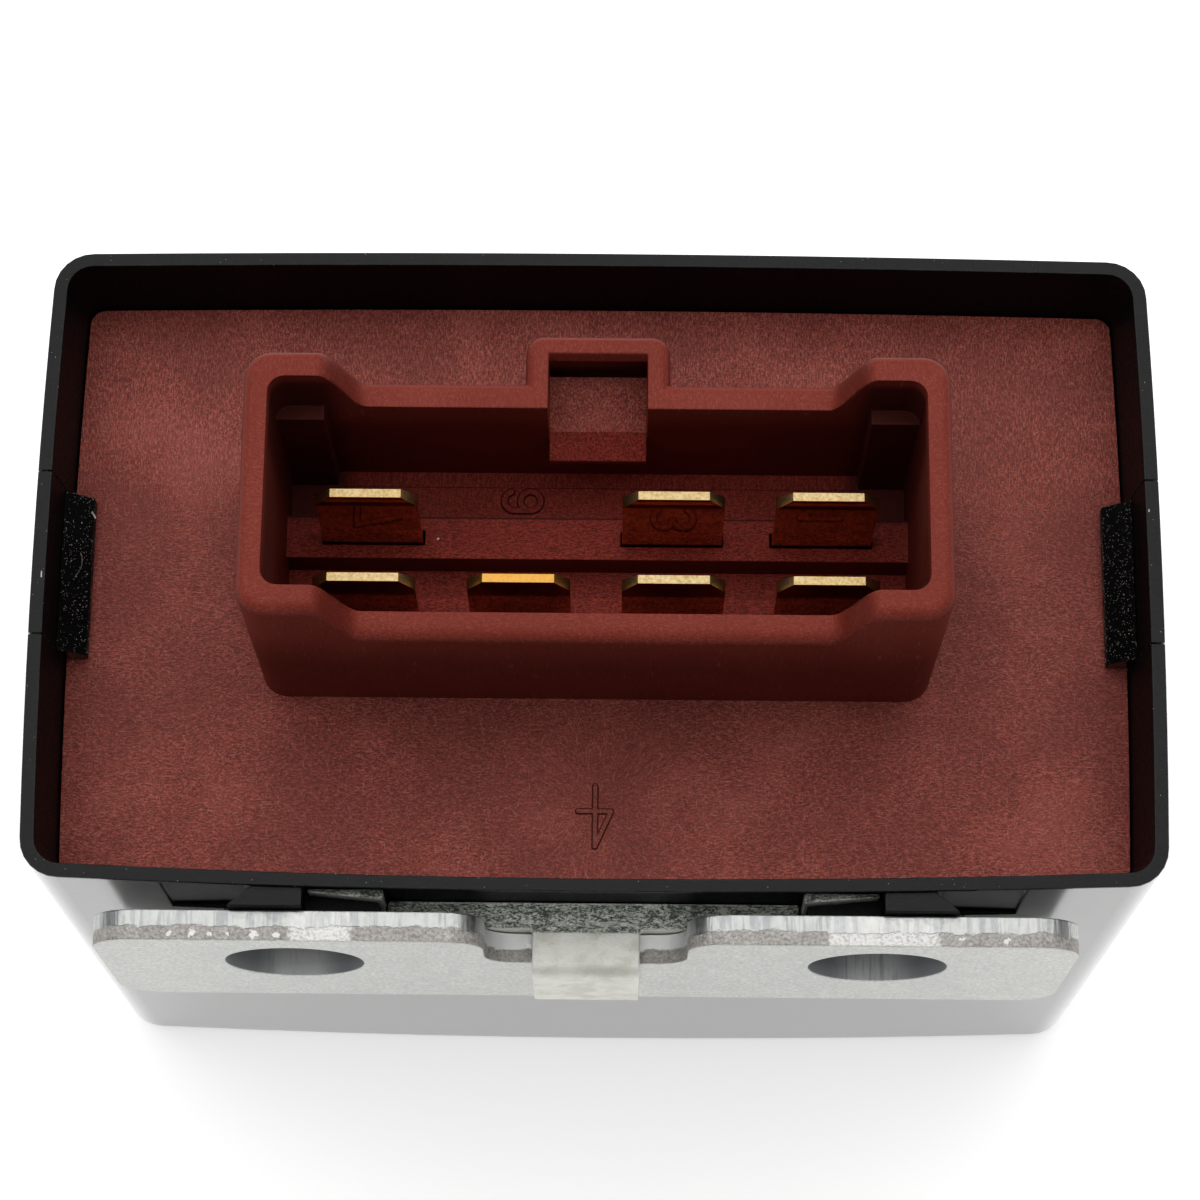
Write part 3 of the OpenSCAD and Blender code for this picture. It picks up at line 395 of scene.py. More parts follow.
def paintBase(place, look):
    x, y, z = parts(place)
    upward = facing(place)[2]
    skin = remap(upward, 0.6, 0.8) * remap(z, *look["skinTop"])
    grain = noise(place, look["grainScale"], detail=3.0, rough=0.8)
    mottle = flowStreak(place, look) * 0.5 + grain * 0.5
    fleck = use(fibreFleck, place, look["fleck"])["Fleck"]
    dust = use(dustSpeck, place, look["specks"])["Dust"]
    # The numbers' sloping sides carry a mask that paints them dark: painted shade
    flank = add(place.tree, "ShaderNodeAttribute", "Fac", attribute_name="flank")
    cloud = noise(place, look["cloudScale"], detail=3.0)
    warmth = noise(place, look["warmScale"], detail=1.0)
    colour = layered(look["dark"], look, {
        "body": remap(mottle, 0.36, 0.53), "light": remap(mottle, 0.49, 0.62, toHigh=0.9),
        "hair": fleck * 0.5, "pit": remap(grain, 0.38, 0.28, toHigh=0.8),
        "warm": remap(warmth, 0.6, 0.72, toHigh=0.55), "dark": remap(cloud, 0.4, 0.65, toHigh=0.28)})
    colour = mixColour(remap(cloud, 0.48, 0.3, toHigh=0.18), colour, look["light"])
    # Painted shade in the shroud's well: its floor turns to dark reds, and its ends, far corners and walls
    # turn near-black
    (midX, midY), (halfX, halfY) = look["well"]["middle"], look["well"]["half"]
    well = (abs(x - midX) < halfX) * (abs(y - midY) < halfY)
    ends = remap(abs(x), *look["ends"]["from"]) * remap(z, *look["ends"]["top"]) * well
    corner = ends * remap(y, *look["ends"]["corner"])
    well = well * remap(z, *look["well"]["top"])
    wellShade = mixColour(remap(mottle, 0.42, 0.58), look["deepDark"], look["deepLight"])
    colour = mixColour(well * 0.85, colour, wellShade)
    colour = mixColour(corner * 0.85, colour, look["pit"])
    # Steep faces get a darker red than faces that look up: painted shade
    sheer = mixColour(remap(upward, 0.7, 0.3), look["smooth"], look["wall"])
    sheer = mixColour(larger(well * 0.75, ends * 0.85), sheer, look["pit"])
    colour = mixColour(remap(skin, 0.0, 1.0, 0.3, 1.0, smooth=False), sheer, colour)
    # Painted shade: a thin dark line along the far rib's edge, and the numbers' flanks, both in the darkest
    # red; the pale specks are dust
    rib = look["ribLine"]
    ribLine = remap(abs(y - rib["y"]), *rib["wide"]) * (z > rib["low"]) * (z < rib["high"])
    colour = layered(colour, look, {"flank": larger(flank, ribLine) * 0.85, "dust": dust * 0.8})
    height = (mottle + fleck * 0.2) * remap(skin, 0.0, 1.0, 0.25, 1.0)
    return {"Base Color": colour, "Roughness": remap(mottle, 0.3, 0.7, *look["roughness"]),
            "IOR": 1.5, "Specular IOR Level": remap(skin - well, 0.0, 1.0, 0.1, 0.22),
            "Normal": bumped(height, look["bump"])}


# Brass blades: polished faces, paler sheared tips
brassLook = {
    "bright": (208, 160, 90), "dull": (152, 102, 50), "burnt": (190, 100, 30),
    "tip": (196, 177, 134), "tipDull": (152, 124, 78), "stain": (198, 140, 44),
    "roughness": (0.03, 0.09), "tipRoughness": 0.4, "bump": 0.0012,
    "stainAt": (-4.7, -3.1), "stainReach": 3.4, "tarnish": {"Size": 1.8, "Amount": 0.8},
    "lines": {"Density": 5.0}, "lineStretch": (1.0, 6.0, 0.25), "grain": {"Size": 0.16, "Contrast": 2.4},
    "wear": {"Patch Size": 0.9}, "burntScale": 0.55, "burntFrom": (0.56, 0.72),
}


def paintBlades(place, look):
    tip = remap(facing(place)[2], 0.15, 0.8)
    offset = mapped(place, place=(-look["stainAt"][0], -look["stainAt"][1], 0), scale=(1, 1, 0))
    stain = remap(length(offset), look["stainReach"], look["stainReach"] * 0.6)
    dull = use(tarnish, place, look["tarnish"])["Dull"]
    lines = use(drawLines, mapped(place, scale=look["lineStretch"]), look["lines"])["Lines"]
    grain = use(fineGrain, place, look["grain"])["Grain"]
    wear = use(edgeWear, place, look["wear"])["Wear"]
    burnt = remap(noise(place, look["burntScale"], detail=3.0), *look["burntFrom"], toHigh=0.5)
    colour = layered(look["bright"], look, {"dull": dull, "burnt": burnt})
    sheared = layered(look["tipDull"], look, {"tip": grain, "stain": stain * 0.75})
    colour = mixColour(tip, colour, sheared)
    colour = mixColour(wear * 0.5, colour, look["bright"])
    rough = mixValue(tip, remap(lines, 0.3, 0.7, *look["roughness"]), look["tipRoughness"])
    return {"Base Color": colour, "Metallic": 1.0, "Roughness": rough,
            "Normal": bumped(lines, look["bump"])}


# Zinc-plated sheet: a grained face, and sheared edges with a bright zone and a torn, chipped zone; painted
# highlights in the bores, on the notch's lips and on patches of the torn zone
plateLook = {
    "face": (196, 197, 192), "faceDark": (138, 139, 135), "burnished": (174, 175, 172),
    "streak": (140, 142, 144), "torn": (206, 202, 197), "tornDark": (132, 126, 121),
    # the next line holds the chips' white, also used for painted highlight patches, then the bores' painted
    # shade grey and the painted highlight white of the bores and the notch's lips
    "chip": (240, 239, 236), "boreDark": (176, 180, 183), "boreBright": (252, 253, 252),
    "roughness": 0.36, "bump": 0.05, "tornFrom": 0.55, "tornBlur": 0.08,
    "chips": [(-25.8, 0.14), (-24.4, 0.26), (-23.3, 0.15), (-22.2, 0.12), (-20.6, 0.3), (-19.2, 0.22),
              (22.4, 0.16), (25.1, 0.22)],
    # the next line places patches of painted highlight on the torn zone and painted highlights on the notch's
    # lips
    "patches": [(-16.6, 1.75), (17.7, 3.25)], "lips": [(-5.4, 1.5), (4.2, 1.7)], "lipBelow": 1.0,
    # the last value on the next line is how wide the bores' painted highlight runs
    "holes": [(-18.66, 44.2), (17.74, 44.2)], "boreReach": 4.5, "shineWide": (3.0, 0.8),
    "shears": {"Density": 2.6}, "shearStretch": (1.0, 0.1, 1.0), "grain": {"Size": 0.24, "Contrast": 3.0},
    "pits": {"Size": 0.2, "Contrast": 2.0}, "tarnish": {"Size": 4.0, "Amount": 0.5},
    "ragged": {"stretch": (0.7, 1.0, 0.7), "scale": 1.1, "depth": 0.9},
    "ruffle": {"scale": 3.6, "depth": 0.7},
}


# Masks of the plate's edges: chips and patches of painted highlight on the torn zone, the bores with a
# painted highlight down their middle, and painted highlights on the notch's lips
def plateMarks(place, edge, middle, look):
    x, z = parts(place)[::2]
    ruffle = (noise(place, look["ruffle"]["scale"], detail=2.0) - 0.5) * look["ruffle"]["depth"]
    flat = mapped(place, scale=(1, 1, 0))
    chips, patchHighlight, bore, shine, lipHighlight = 0.0, 0.0, 0.0, 0.0, 0.0
    for centre, radius in look["chips"]:
        spot = (centre, (middle + plateLow.y / mm) / 2, 0.0)
        chips = larger(chips, remap(distance(flat, spot) + ruffle, radius, radius * 0.7))
    # Patches of painted highlight on the torn zone
    for centre, half in look["patches"]:
        patchHighlight = larger(patchHighlight, remap(abs(x - centre) + ruffle, half + 0.3, half - 0.1))
    for holeX, holeZ in look["holes"]:
        offset = mapped(place, place=(-holeX, 0, -holeZ), scale=(1, 0, 1))
        bore = larger(bore, length(offset) < look["boreReach"])
        shine = larger(shine, remap(abs(x - holeX), *look["shineWide"]))
    bore = bore * edge
    # Painted highlights on the bottoms of the notch's lips
    for centre, half in look["lips"]:
        lipHighlight = larger(lipHighlight, remap(abs(x - centre), half + 0.9, half - 1.0))
    lipHighlight = lipHighlight * (z < plateHigh.z / mm - look["lipBelow"]) * edge * (1.0 - bore)
    return chips, patchHighlight, bore, shine, lipHighlight


def paintPlate(place, look):
    normalY = facing(place)[1]
    edge = remap(abs(normalY), 0.75, 0.35)
    back = remap(normalY, 0.4, 0.7)
    middle = (plateHigh.y + (plateLow.y - plateHigh.y) * look["tornFrom"]) / mm
    tear = look["ragged"]
    ragged = noise(mapped(place, scale=tear["stretch"]), tear["scale"], detail=4.0, rough=0.7)
    depth = parts(place)[1] + (ragged - 0.5) * tear["depth"]
    torn = remap(depth, middle + look["tornBlur"], middle - look["tornBlur"]) * edge
    shears = use(drawLines, mapped(place, scale=look["shearStretch"]), look["shears"])["Lines"]
    grain = use(fineGrain, place, look["grain"])
    pits = use(fineGrain, place, look["pits"])
    dull = use(tarnish, place, look["tarnish"])["Dull"]
    chips, patchHighlight, bore, shine, lipHighlight = plateMarks(place, edge, middle, look)
    colour = layered(look["faceDark"], look, {"face": grain["Grain"], "faceDark": dull * 0.35})
    shorn = mixColour(remap(shears, 0.56, 0.4, toHigh=0.8), look["burnished"], look["streak"])
    # Painted highlight patches, speckled by the pits' grain
    speckledHighlight = patchHighlight * remap(pits["Grain"], 0.2, 0.6, 0.4, 0.95)
    ripped = layered(look["tornDark"], look, {"torn": pits["Grain"], "chip": speckledHighlight})
    ripped = mixColour(chips * 0.95, ripped, look["chip"])
    # Each bore takes a painted highlight down its middle, grading to painted shade grey at its sides
    boreLightShade = mixColour(shine * remap(shears, 0.35, 0.5, 0.4, 1.0), look["boreDark"], look["boreBright"])
    colour = mixColour(edge, colour, shorn)
    colour = mixColour(torn, colour, ripped)
    # Painted highlights: a light wash on the torn zone's patches, and white on the notch's lips
    colour = layered(colour, look, {"chip": patchHighlight * edge * 0.15, "boreBright": lipHighlight * (1.0 - torn)})
    colour = mixColour(bore, colour, boreLightShade)
    torn = torn * remap(bore, 0.0, 1.0, 1.0, 0.2)
    rough = look["roughness"] + larger(torn, bore) * 0.2 + (grain["Grain"] - 0.5) * 0.16
    height = grain["Height"] * 0.3 + shears * edge * 1.4 + pits["Height"] * torn * 1.6
    metal = remap(larger(torn, back), 0.0, 1.0, 0.95, 0.45)
    # Bores and lips lose their metal so that their painted highlights show plain white
    metal = remap(larger(lipHighlight, bore), 0.0, 1.0, metal, 0.08)
    return {"Base Color": colour, "Metallic": metal, "Roughness": rough,
            "Normal": bumped(height, look["bump"])}


# Hot-dipped hanger: a mottled skin, and rough cracked edges where it was sheared
hangerLook = {
    "skin": (246, 246, 240), "blotch": (220, 219, 207), "edge": (222, 226, 214),
    "edgeDark": (80, 88, 83), "crack": (30, 34, 31), "roughness": (0.54, 0.38), "bump": 0.08,
    "tabFrom": (-22.4, -22.2), "grain": {"Size": 0.11, "Contrast": 3.0}, "grainStretch": (0.55, 1.0, 1.0),
    "coarse": {"Size": 0.42, "Contrast": 2.4}, "coarseStretch": (0.6, 1.0, 1.0),
    "tarnish": {"Size": 1.8, "Amount": 0.9}, "wear": {"Patch Size": 1.2},
    "split": {"stretch": (0.3, 1.0, 1.0), "scale": 1.8, "wide": (0.02, 0.004)},
}


def paintHanger(place, look):
    top = remap(facing(place)[2], 0.5, 0.8) * remap(parts(place)[1], *look["tabFrom"])
    grain = use(fineGrain, mapped(place, scale=look["grainStretch"]), look["grain"])
    coarse = use(fineGrain, mapped(place, scale=look["coarseStretch"]), look["coarse"])
    dull = use(tarnish, place, look["tarnish"])["Dull"]
    wear = use(edgeWear, place, look["wear"])["Wear"]
    split = look["split"]
    wander = noise(mapped(place, scale=split["stretch"]), split["scale"], detail=4.0, rough=0.65)
    crack = remap(abs(wander - 0.5), *split["wide"]) * top * remap(coarse["Grain"], 0.5, 0.7)
    colour = mixColour(dull, look["skin"], look["blotch"])
    colour = mixColour(grain["Grain"] * 0.3, colour, look["blotch"])
    chipped = (grain["Grain"] + coarse["Grain"]) * 0.5
    sheared = mixColour(remap(chipped, 0.25, 0.75), look["edgeDark"], look["edge"])
    colour = mixColour(top, colour, sheared)
    colour = layered(colour, look, {"skin": wear * 0.5, "crack": crack})
    rough = remap(grain["Grain"], 0.2, 0.8, *look["roughness"]) + remap(top, 0.0, 1.0, 0.2, 0.0)
    height = grain["Height"] * remap(top, 0.0, 1.0, 0.25, 1.0) + (coarse["Height"] - crack) * top
    return {"Base Color": colour, "Metallic": remap(top, 0.0, 1.0, 0.55, 0.5), "Roughness": rough,
            "Normal": bumped(height, look["bump"])}


# Metals inside the case, each with its own tint, lines and dullness
insideMetals = {
    "relayIron": {"bright": (168, 170, 172), "dull": (116, 114, 110),
                  "roughness": (0.28, 0.46), "bump": 0.01},
    "springBronze": {"bright": (206, 150, 92), "dull": (150, 98, 54),
                     "roughness": (0.2, 0.38), "bump": 0.008},
    "contactSilver": {"bright": (226, 226, 222), "dull": (170, 164, 150),
                      "roughness": (0.16, 0.34), "bump": 0.004},
    "tinSolder": {"bright": (204, 206, 208), "dull": (150, 152, 154),
                  "roughness": (0.24, 0.42), "bump": 0.02},
    "copperWire": {"bright": (190, 98, 52), "dull": (132, 58, 28),
                   "roughness": (0.18, 0.36), "bump": 0.004},
}
metalCommon = {"tarnish": {"Size": 2.6, "Amount": 0.9}, "wear": {"Patch Size": 1.0},
               "lines": {"Density": 3.0}, "lineStretch": (4.0, 4.0, 0.4)}


def paintMetal(place, look):
    stretched = mapped(place, scale=metalCommon["lineStretch"])
    dull = use(tarnish, place, metalCommon["tarnish"])["Dull"]
    lines = use(drawLines, stretched, metalCommon["lines"])["Lines"]
    wear = use(edgeWear, place, metalCommon["wear"])["Wear"]
    colour = layered(look["bright"], look, {"dull": dull, "bright": wear * 0.7})
    return {"Base Color": colour, "Metallic": 1.0,
            "Roughness": remap(lines, 0.25, 0.75, *look["roughness"]),
            "Normal": bumped(lines, look["bump"])}


# Cream nylon of the bobbins
bobbinLook = {
    "body": (214, 205, 178), "shade": (188, 176, 146), "roughness": (0.37, 0.5), "bump": 0.015,
    "grain": {"Size": 0.3, "Contrast": 1.2}, "fleck": {"Length": 0.5, "Width": 0.03, "Share": 0.4},
}


def paintBobbin(place, look):
    grain = use(fineGrain, place, look["grain"])
    fleck = use(fibreFleck, place, look["fleck"])["Fleck"]
    colour = layered(look["shade"], look, {"body": grain["Grain"], "shade": fleck * 0.25})
    return {"Base Color": colour, "IOR": 1.53,
            "Roughness": remap(grain["Grain"], 0.2, 0.8, *look["roughness"]),
            "Normal": bumped(grain["Height"], look["bump"])}


# Green laminate with tracks under the lacquer
boardLook = {
    "lacquer": (32, 92, 52), "track": (58, 124, 66), "edge": (176, 164, 110),
    "roughness": 0.3, "bump": 0.03, "weave": {"Size": 0.25, "Contrast": 1.4}, "trackPitch": 2.1,
    "trackStretch": (0.35, 1.0, 0.0), "trackFrom": (0.78, 0.84),
}


def paintBoard(place, look):
    weave = use(fineGrain, place, look["weave"])
    blocks = add(place.tree, "ShaderNodeTexVoronoi", "Distance",
                 {"Vector": mapped(place, scale=look["trackStretch"]), "Scale": 1 / look["trackPitch"],
                  "Randomness": 0.55}, distance="MANHATTAN", feature="F2")
    track = remap(blocks, *look["trackFrom"])
    rim = remap(abs(facing(place)[2]), 0.7, 0.3)
    colour = mixColour(track, look["lacquer"], look["track"])
    colour = mixColour(weave["Grain"] * 0.25, colour, look["edge"], kind="SOFT_LIGHT")
    colour = mixColour(rim, colour, look["edge"])
    return {"Base Color": colour, "Roughness": look["roughness"] + rim * 0.4,
            "Normal": bumped(track * 0.5 + weave["Height"] * 0.3, look["bump"])}


# Small axial parts: a lacquered body with bands round it and bare leads
axialLooks = {
    "diode": {"axis": 1, "body": (28, 28, 30), "bands": [(1.75, 0.45, (206, 206, 200))]},
    "resistor": {"axis": 0, "body": (212, 196, 152),
                 "bands": [(-1.9, 0.3, (120, 66, 30)), (-0.9, 0.3, (24, 22, 22)),
                           (0.1, 0.3, (186, 40, 32)), (1.7, 0.3, (196, 152, 60))]},
}
axialCommon = {"grime": (90, 84, 74), "grain": {"Size": 0.3, "Contrast": 0.8}, "lead": 1.85,
               "bandBlur": 0.03, "leadBlur": 0.02, "roughness": (0.26, 0.42), "bump": 0.01}


def paintAxial(place, look):
    low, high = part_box(look["node"])
    middle = (low + high) / 2 / mm
    along = parts(mapped(place, place=(-middle.x, -middle.y, -middle.z)))[look["axis"]]
    grain = use(fineGrain, place, axialCommon["grain"])
    colour = mixColour(grain["Grain"] * 0.35, look["body"], axialCommon["grime"])
    blur = axialCommon["bandBlur"]
    for centre, half, tint in look["bands"]:
        colour = mixColour(remap(abs(along - centre), half + blur, half - blur), colour, tint)
    leadFrom = (high - low)[look["axis"]] / mm / 2 - axialCommon["lead"]
    blur = axialCommon["leadBlur"]
    lead = remap(abs(along), leadFrom - blur, leadFrom + blur)
    colour = mixColour(lead, colour, insideMetals["tinSolder"]["bright"])
    return {"Base Color": colour, "Metallic": lead,
            "Roughness": remap(grain["Grain"], 0.2, 0.8, *axialCommon["roughness"]),
            "Normal": bumped(grain["Height"], axialCommon["bump"])}


# Lint and grit that lie on the snap hooks, the rim and the shroud
gritLook = {"pale": (232, 230, 222), "brown": (150, 142, 124), "roughness": (0.95, 0.8),
            "grain": {"Size": 0.5, "Contrast": 2.4}}


def paintGrit(place, look):
    tint = use(fineGrain, place, look["grain"])["Grain"]
    return {"Base Color": mixColour(tint, look["brown"], look["pale"]),
            "Roughness": remap(tint, 0.0, 1.0, *look["roughness"])}


casePlastic = makeFinish("casePlastic", paintCase, caseLook)
basePlastic = makeFinish("basePlastic", paintBase, baseLook)
bladeBrass = makeFinish("bladeBrass", paintBlades, brassLook)
plateZinc = makeFinish("plateZinc", paintPlate, plateLook)
hangerZinc = makeFinish("hangerZinc", paintHanger, hangerLook)
bobbinNylon = makeFinish("bobbinNylon", paintBobbin, bobbinLook)
boardLaminate = makeFinish("boardLaminate", paintBoard, boardLook)
grit = makeFinish("grit", paintGrit, gritLook)
metals = {name: makeFinish(name, paintMetal, look) for name, look in insideMetals.items()}
print("finishes built")


# Pieces
def newPiece(name, mesh, finish):
    piece = bpy.data.objects.new(name, mesh)
    stage.collection.objects.link(piece)
    mesh.materials.clear()
    mesh.materials.append(finish)
    return piece


def dress(piece, slot, body, *replaced):
    if body:
        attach(piece, body)
    if replaced:
        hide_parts(*replaced)
    print("piece", piece.name, len(piece.data.polygons), "faces")


# How near points are merged, how flat faces are joined, how short an edge is dropped
meshLimits = {"merge": 2e-6, "flatDeg": 0.06, "sliver": 1e-7, "smoothDeg": 40}


# A merged copy of a solid's mesh with flat faces joined up again
def mergedCopy(node):
    work = bmesh.new()
    work.from_mesh(nodes[node].data)
    bmesh.ops.remove_doubles(work, verts=work.verts, dist=meshLimits["merge"])
    flat = math.radians(meshLimits["flatDeg"])
    bmesh.ops.dissolve_limit(work, angle_limit=flat, verts=work.verts, edges=work.edges)
    return work


# Bevels the sharp edges, and marks the new strips for the wear
def roundEdges(work, radius, sharpDeg, chosen=None):
    edgeLayer = work.faces.layers.float.get("edge") or work.faces.layers.float.new("edge")
    edges = [e for e in work.edges if len(e.link_faces) == 2
             and e.calc_face_angle() > math.radians(sharpDeg) and (chosen is None or chosen(e))]
    made = bmesh.ops.bevel(work, geom=edges, offset=radius * mm, offset_type="OFFSET", segments=2,
                           profile=0.5, affect="EDGES", clamp_overlap=False, loop_slide=True)
    for face in made["faces"]:
        face[edgeLayer] = 1.0
    bmesh.ops.dissolve_degenerate(work, edges=work.edges, dist=meshLimits["sliver"])


# Turns the working mesh into a piece with weighted normals
def settle(work, name, finish):
    mesh = bpy.data.meshes.new(name)
    work.to_mesh(mesh)
    work.free()
    if "custom_normal" in mesh.attributes:
        mesh.attributes.remove(mesh.attributes["custom_normal"])
    mesh.shade_smooth()
    mesh.set_sharp_from_angle(angle=math.radians(meshLimits["smoothDeg"]))
    piece = newPiece(name, mesh, finish)
    weighted = piece.modifiers.new("weighted", "WEIGHTED_NORMAL")
    weighted.keep_sharp = True
    return plain(piece)


# Replaces a piece's mesh by its evaluated one and drops its modifiers
def plain(piece):
    depsgraph = bpy.context.evaluated_depsgraph_get()
    mesh = bpy.data.meshes.new_from_object(piece.evaluated_get(depsgraph), depsgraph=depsgraph)
    mesh.name = piece.name
    piece.modifiers.clear()
    piece.data = mesh
    return piece


# Moulded and pressed pieces with rounded edges, in place of the plain solids
caseShape = {"edge": 0.11, "sharpDeg": 28, "slitAt": (0.3, 5.35), "slitNear": 0.15, "slitFrom": 33.0}
baseShape = {"edge": 0.1, "sharpDeg": 50}
plateShape = {"edge": 0.14, "sharpDeg": 30}
hangerShape = {"edge": 0.16, "sharpDeg": 30}


# The hairline slits beside the latches stay sharp
def clearOfSlits(edge):
    middle, half = caseShape["slitAt"]
    ends = [v.co / mm for v in edge.verts]
    return not all(abs(abs(p.y - middle) - half) < caseShape["slitNear"] and abs(p.x) > caseShape["slitFrom"]
                   for p in ends)


def makeRounded(name, node, shape, finish, slot, chosen=None):
    work = mergedCopy(node)
    roundEdges(work, shape["edge"], shape["sharpDeg"], chosen)
    piece = settle(work, name, finish)
    dress(piece, slot, "housing", node)
    return piece


relayCase = makeRounded("relay_case", "case", caseShape, casePlastic, "case_plastic", clearOfSlits)
makeRounded("connector_base", "terminal_base", baseShape, basePlastic, "base_plastic")
makeRounded("mount_plate", "bracket_plate", plateShape, plateZinc, "plated_steel")
makeRounded("mount_hanger", "bracket_hanger", hangerShape, hangerZinc, "hanger_steel")


# Geometry node trees: the builder gets the piece's geometry and the named inputs, and gives the new geometry
socketKinds = {float: "Float", int: "Int", tuple: "Vector"}


def makeTree(name, build, inputs, finish):
    tree = bpy.data.node_groups.new(name, "GeometryNodeTree")
    tree.interface.new_socket(name="Geometry", in_out="INPUT", socket_type="NodeSocketGeometry")
    named = {}
    for label, value in inputs.items():
        kind = "NodeSocket" + socketKinds[type(value)]
        socket = tree.interface.new_socket(name=label, in_out="INPUT", socket_type=kind)
        socket.default_value = value
        named[label] = socket.identifier
    tree.interface.new_socket(name="Geometry", in_out="OUTPUT", socket_type="NodeSocketGeometry")
    given = tree.nodes.new("NodeGroupInput").outputs
    made = build(*[Signal(given[label]) for label in ("Geometry", *inputs)])
    real = add(tree, "GeometryNodeRealizeInstances", 0, {0: made})
    painted = add(tree, "GeometryNodeSetMaterial", 0, {"Geometry": real, "Material": finish})
    feed(tree.nodes.new("NodeGroupOutput").inputs[0], painted)
    return tree, named


def grow(piece, tree, named, values):
    modifier = piece.modifiers.new(tree.name, "NODES")
    modifier.node_group = tree
    for label, value in values.items():
        modifier[named[label]] = value
    return plain(piece)


def shifted(geometry, offset, selection=True):
    sockets = {"Geometry": geometry, "Selection": selection, "Offset": offset}
    return add(geometry.tree, "GeometryNodeSetPosition", 0, sockets)


def gridOf(sizeX, sizeY, countX, countY):
    sockets = {"Size X": sizeX, "Size Y": sizeY, "Vertices X": countX, "Vertices Y": countY}
    return add(sizeX.tree, "GeometryNodeMeshGrid", "Mesh", sockets)


def tubeAlong(curve, sides, radius):
    tree = curve.tree
    ring = add(tree, "GeometryNodeCurvePrimitiveCircle", "Curve", {"Resolution": sides, "Radius": radius})
    return add(tree, "GeometryNodeCurveToMesh", 0, {"Curve": curve, "Profile Curve": ring, "Fill Caps": True})


def bothOf(first, second):
    join = newNode(first.tree, "GeometryNodeJoinGeometry")
    feed(join.inputs[0], first)
    feed(join.inputs[0], second)
    return Signal(join.outputs[0])


def exceeds(value, limit):
    return add(value.tree, "FunctionNodeCompare", 0, {0: value, 1: limit}, data_type="FLOAT",
               operation="GREATER_THAN")


# Seven blades: a grid of two rows with one place left empty
bladeShape = {"edge": 0.05, "sharpDeg": 12, "emptyPlace": 3, "columns": 4}
bladeNodes = [f"blade_{i}" for i in range(1, 8)]


def buildRows(blade, pitch, rowGap, middle, emptyPlace):
    tree = blade.tree
    columns = bladeShape["columns"]
    grid = gridOf(pitch * (columns - 1), rowGap, columns, 2)
    index = add(tree, "GeometryNodeInputIndex", 0)
    empty = add(tree, "FunctionNodeCompare", 0, {2: index, 3: emptyPlace}, data_type="INT", operation="EQUAL")
    kept = add(tree, "GeometryNodeDeleteGeometry", 0, {0: grid, 1: empty}, domain="POINT")
    places = shifted(kept, middle)
    return add(tree, "GeometryNodeInstanceOnPoints", 0, {"Points": places, "Instance": blade})


def makeBlades():
    inputs = {"Pitch": 0.009, "Row Gap": 0.005, "Middle": (0, 0, 0), "Empty Place": 0}
    tree = makeTree("bladeRows", buildRows, inputs, bladeBrass)
    centres = [sum(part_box(node), Vector()) / 2 for node in bladeNodes]
    rowGap = centres[4].y - centres[0].y
    work = mergedCopy(bladeNodes[0])
    bmesh.ops.translate(work, verts=work.verts, vec=-centres[0])
    roundEdges(work, bladeShape["edge"], bladeShape["sharpDeg"])
    blades = grow(settle(work, "blade_terminals", bladeBrass), *tree, {
        "Pitch": centres[1].x - centres[0].x, "Row Gap": rowGap,
        "Middle": (centres[0] + centres[3]) / 2 + Vector((0, rowGap / 2, 0)),
        "Empty Place": bladeShape["emptyPlace"]})
    dress(blades, "terminal_brass", "housing", *bladeNodes)


makeBlades()


# Raised numbers: a relief over the strokes of a digit, drawn on a box one unit high
def arcStroke(cx, cy, radius, fromDeg, toDeg, steps=14):
    turns = [math.radians(fromDeg + (toDeg - fromDeg) * i / steps) for i in range(steps + 1)]
    return [(cx + radius * math.cos(a), cy + radius * math.sin(a)) for a in turns]


digitStrokes = {
    "1": [[(-0.2, 0.76), (0.0, 1.0), (0.0, 0.0)]],
    "3": [arcStroke(0.0, 0.74, 0.25, 150, -80) + arcStroke(0.0, 0.26, 0.26, 80, -150)],
    "4": [[(0.0, 0.0), (0.0, 1.0), (-0.26, 0.42), (0.27, 0.42)]],
    "7": [[(-0.22, 1.0), (0.22, 1.0), (0.02, 0.0)]],
    "6": [arcStroke(0.0, 0.72, 0.27, 20, 180) + [(-0.27, 0.29)], arcStroke(0.0, 0.29, 0.27, 0, 360, 24)],
}
onBase = {"belowRim": 6, "turn": 180, "wide": 0.27, "rise": 0.12}
onFloor = {"belowRim": 5, "turn": 90, "wide": 0.36, "rise": 0.14}
numberPlaces = [  # lengths in mm, turns in degrees
    {"digit": "4", "place": (0.02, -14.93), "height": 3.9, **onBase},
    {"digit": "6", "place": (-4.83, 5.6), "height": 2.4, **onFloor},
    {"digit": "7", "place": (-14.12, -0.88), "height": 2.7, **onFloor},
    {"digit": "3", "place": (4.83, -0.88), "height": 2.6, **onFloor},
    {"digit": "1", "place": (14.27, -1.0), "height": 2.6, **onFloor},
]
reliefShape = {"step": 0.045, "flank": 0.1, "sunk": 0.03, "foot": 0.1}


